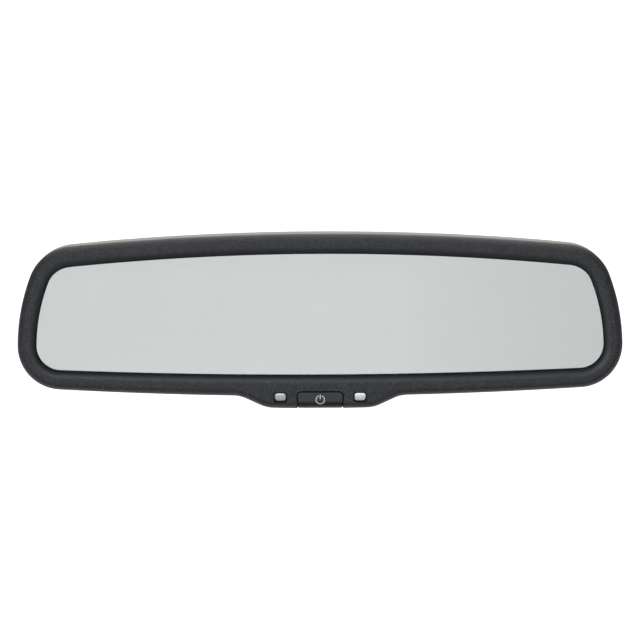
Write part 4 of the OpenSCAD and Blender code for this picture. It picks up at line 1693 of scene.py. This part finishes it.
@dataclass
class Carried:
    """CAD shapes that stay as they are: softened copies, or the nodes themselves."""

    softened: dict[str, tuple[str, Body, float]] = field(default_factory=lambda: {
        "back_cover": ("cover_plate", Body.HEAD, 0.2),
        "connector_header": ("connector_shell", Body.HEAD, 0.12),
        "socket_retainer": ("retainer_ring", Body.HEAD, 0.2),
        "mount_foot": ("foot_casting", Body.MOUNT, 0.35),
        "arm_tube": ("arm_pipe", Body.ARM, 0.15),
    })

    def copy(self, node: str, name: str, body: Body, radius: float) -> None:
        """Makes a merged copy of a CAD node with its edges softened.

        Args:
            node: The CAD node.
            name: Name of the copy.
            body: Body that it rides on.
            radius: Width of the softened edges, in millimetres.
        """
        mesh = bmesh.new()
        mesh.from_mesh(frame["nodes"][node].data)
        bmesh.ops.remove_doubles(mesh, verts=mesh.verts, dist=2e-6)
        bmesh.ops.dissolve_limit(mesh, angle_limit=math.radians(0.6), verts=mesh.verts,
                                 edges=mesh.edges)
        data = bpy.data.meshes.new(name)
        mesh.to_mesh(data)
        mesh.free()
        thing = linked(name, data)
        bevel = thing.modifiers.new("soft", "BEVEL")
        bevel.width = radius * MM
        bevel.segments = 2
        bevel.limit_method = "ANGLE"
        bevel.angle_limit = math.radians(42)
        bevel.use_clamp_overlap = True
        bevel.harden_normals = False
        baked(thing)
        shade(thing, 30.0)
        settle(thing, body, self.slot_of(node), node)

    @staticmethod
    def slot_of(node: str) -> str:
        """Material slot of a CAD node."""
        return next(s["material_slot"] for s in frame["record"]["subparts"] if s["node"] == node)

    def build(self) -> None:
        """Makes the copies, then dresses every CAD node."""
        for node, (name, body, radius) in self.softened.items():
            self.copy(node, name, body, radius)
        for node, thing in frame["nodes"].items():
            slot = self.slot_of(node)
            for place in thing.material_slots:
                place.material = PAINT.material(slot)
            LOG.info("%s dressed as %s", node, slot)


# ---- studio --------------------------------------------------------------------------


@dataclass
class Studio:
    """Camera, plain pale floor with a swept back, and soft lights."""

    distance: float = 1200.0
    elevation: float = math.radians(7.0)
    roll: float = math.radians(0.255)
    frame_width: float = 270.15
    aim: Place = (0.05, -2.2)
    look_z: float = -0.245
    floor_drop: float = 260.0
    floor_half: float = 1700.0
    bend_at: float = 1200.0
    bend_r: float = 900.0
    wall_high: float = 3200.0
    card_back: float = 2000.0

    def camera(self) -> None:
        """Places the camera."""
        data = bpy.data.cameras.new("camera")
        thing = linked("camera", data)
        data.sensor_width = 36.0
        data.lens = data.sensor_width * self.distance / self.frame_width
        data.clip_start, data.clip_end = 0.05, 60.0
        back = Vector((0.0, -math.cos(self.elevation), math.sin(self.elevation)))
        right = Vector((1.0, 0.0, 0.0))
        up = back.cross(right).normalized()
        turn = Matrix.Rotation(-self.roll, 3, back)
        right, up = turn @ right, turn @ up
        target = GLASS_AT + Vector((0.0, 0.0, self.look_z)) + right * self.aim[0] + up * self.aim[1]
        basis = Matrix((right, up, back)).transposed().to_4x4()
        thing.matrix_world = Matrix.Translation((target + back * self.distance) * MM) @ basis
        bpy.context.scene.camera = thing

    def stage_material(self, name: str, colour: Colour, glow: float) -> bpy.types.Material:
        """Makes matt paper with a faint fibre and a soft light of its own.

        Args:
            name: Name of the material.
            colour: Colour of the paper.
            glow: Strength of its light.

        Returns:
            The material.
        """
        material, graph = new_material(name)
        tone = graph.mix(graph.noise(30.0, 3.0), colour, toned(colour, 0.985))
        graph.surface(Base_Color=tone, Roughness=0.9, Emission_Color=tone, Emission_Strength=glow)
        return material

    def sweep(self) -> None:
        """Builds the floor, which rises in a wide curve behind the object."""
        low = GLASS_AT.z - self.floor_drop
        profile = [(y, low) for y in spread(-60.0, self.bend_at, 8)]
        profile += [(self.bend_at + self.bend_r * math.sin(a),
                     low + self.bend_r * (1 - math.cos(a)))
                    for a in spread(0.1, math.pi / 2, 14)]
        profile += [(self.bend_at + self.bend_r, low + self.wall_high)]
        floor = sheet("floor", [[(x, y, z) for y, z in profile]
                                for x in spread(-self.floor_half, self.floor_half, 3)])
        floor.data.materials.append(self.stage_material("paper", (0.9, 0.9, 0.9), 0.75))

    def card(self) -> None:
        """Builds the softly lit card behind the camera, which the mirror shows."""
        y = GLASS_AT.y - self.card_back
        card = sheet("card", [[(x, y, GLASS_AT.z + z) for z in spread(-1000.0, 420.0, 8)]
                              for x in spread(-1100.0, 1100.0, 12)])
        material, graph = new_material("card_paper")
        x, z = graph.axis("X"), graph.axis("Z")
        fade = 1.0 - x.step(0.05, 0.34) * 0.1 - (0.0 - x).step(0.1, 0.4) * 0.035
        patch = (1.0 - x.step(0.085, 0.125)) * (1.0 - z.step(-0.216, -0.2)) * 0.022
        level = (fade + patch) * (0.985 + graph.noise(120.0) * 0.03)
        tone = graph.add("ShaderNodeVectorMath", {"operation": "SCALE"},
                         {0: (0.984, 0.97, 0.972), "Scale": level}, "Vector")
        graph.surface(Base_Color=(0.0, 0.0, 0.0, 1.0), Roughness=1.0, Specular_IOR_Level=0.0,
                      Emission_Color=tone, Emission_Strength=0.86)
        card.data.materials.append(material)
        card.visible_camera = False

    def light(self, name: str, place: Point, size: Place, watts: float,
              colour: Colour) -> None:
        """Adds a soft panel that faces the head.

        Args:
            name: Name of the light.
            place: Its place in millimetres, measured from the glass.
            size: Its width and height in millimetres.
            watts: Its power.
            colour: Its colour.
        """
        data = bpy.data.lights.new(name, "AREA")
        data.shape = "RECTANGLE"
        data.size, data.size_y = (s * MM for s in size)
        data.energy = watts
        data.color = colour
        thing = linked(name, data)
        at = (GLASS_AT + Vector(place)) * MM
        thing.location = at
        thing.rotation_mode = "QUATERNION"
        thing.rotation_quaternion = (at - GLASS_AT * MM).to_track_quat("Z", "Y")

    def world(self) -> None:
        """Sets an even pale surround."""
        world = bpy.data.worlds.new("surround")
        world.use_nodes = True
        surround = world.node_tree.nodes["Background"]
        surround.inputs["Color"].default_value = (0.97, 0.985, 1.0, 1.0)
        surround.inputs["Strength"].default_value = 0.13
        bpy.context.scene.world = world
        bpy.context.scene.view_settings.view_transform = "Standard"

    def build(self) -> None:
        """Builds the studio."""
        self.camera()
        self.sweep()
        self.card()
        self.world()
        self.light("overhead", (0.0, 330.0, 1250.0), (1500.0, 700.0), 13.0, (1.0, 0.97, 0.92))
        self.light("front", (-250.0, -1550.0, 330.0), (1000.0, 700.0), 21.0, (0.96, 0.98, 1.0))


def main() -> None:
    """Builds every piece in order."""
    logging.basicConfig(level=logging.INFO, format="%(message)s")
    for part in (Studio(), Bezel(), Housing(), GlassCell(), Windows(), ButtonCap(), Connector(),
                 Arm(), Foot(), Carried()):
        LOG.info("building %s", type(part).__name__)
        part.build()


if __name__ == "__main__":
    main()
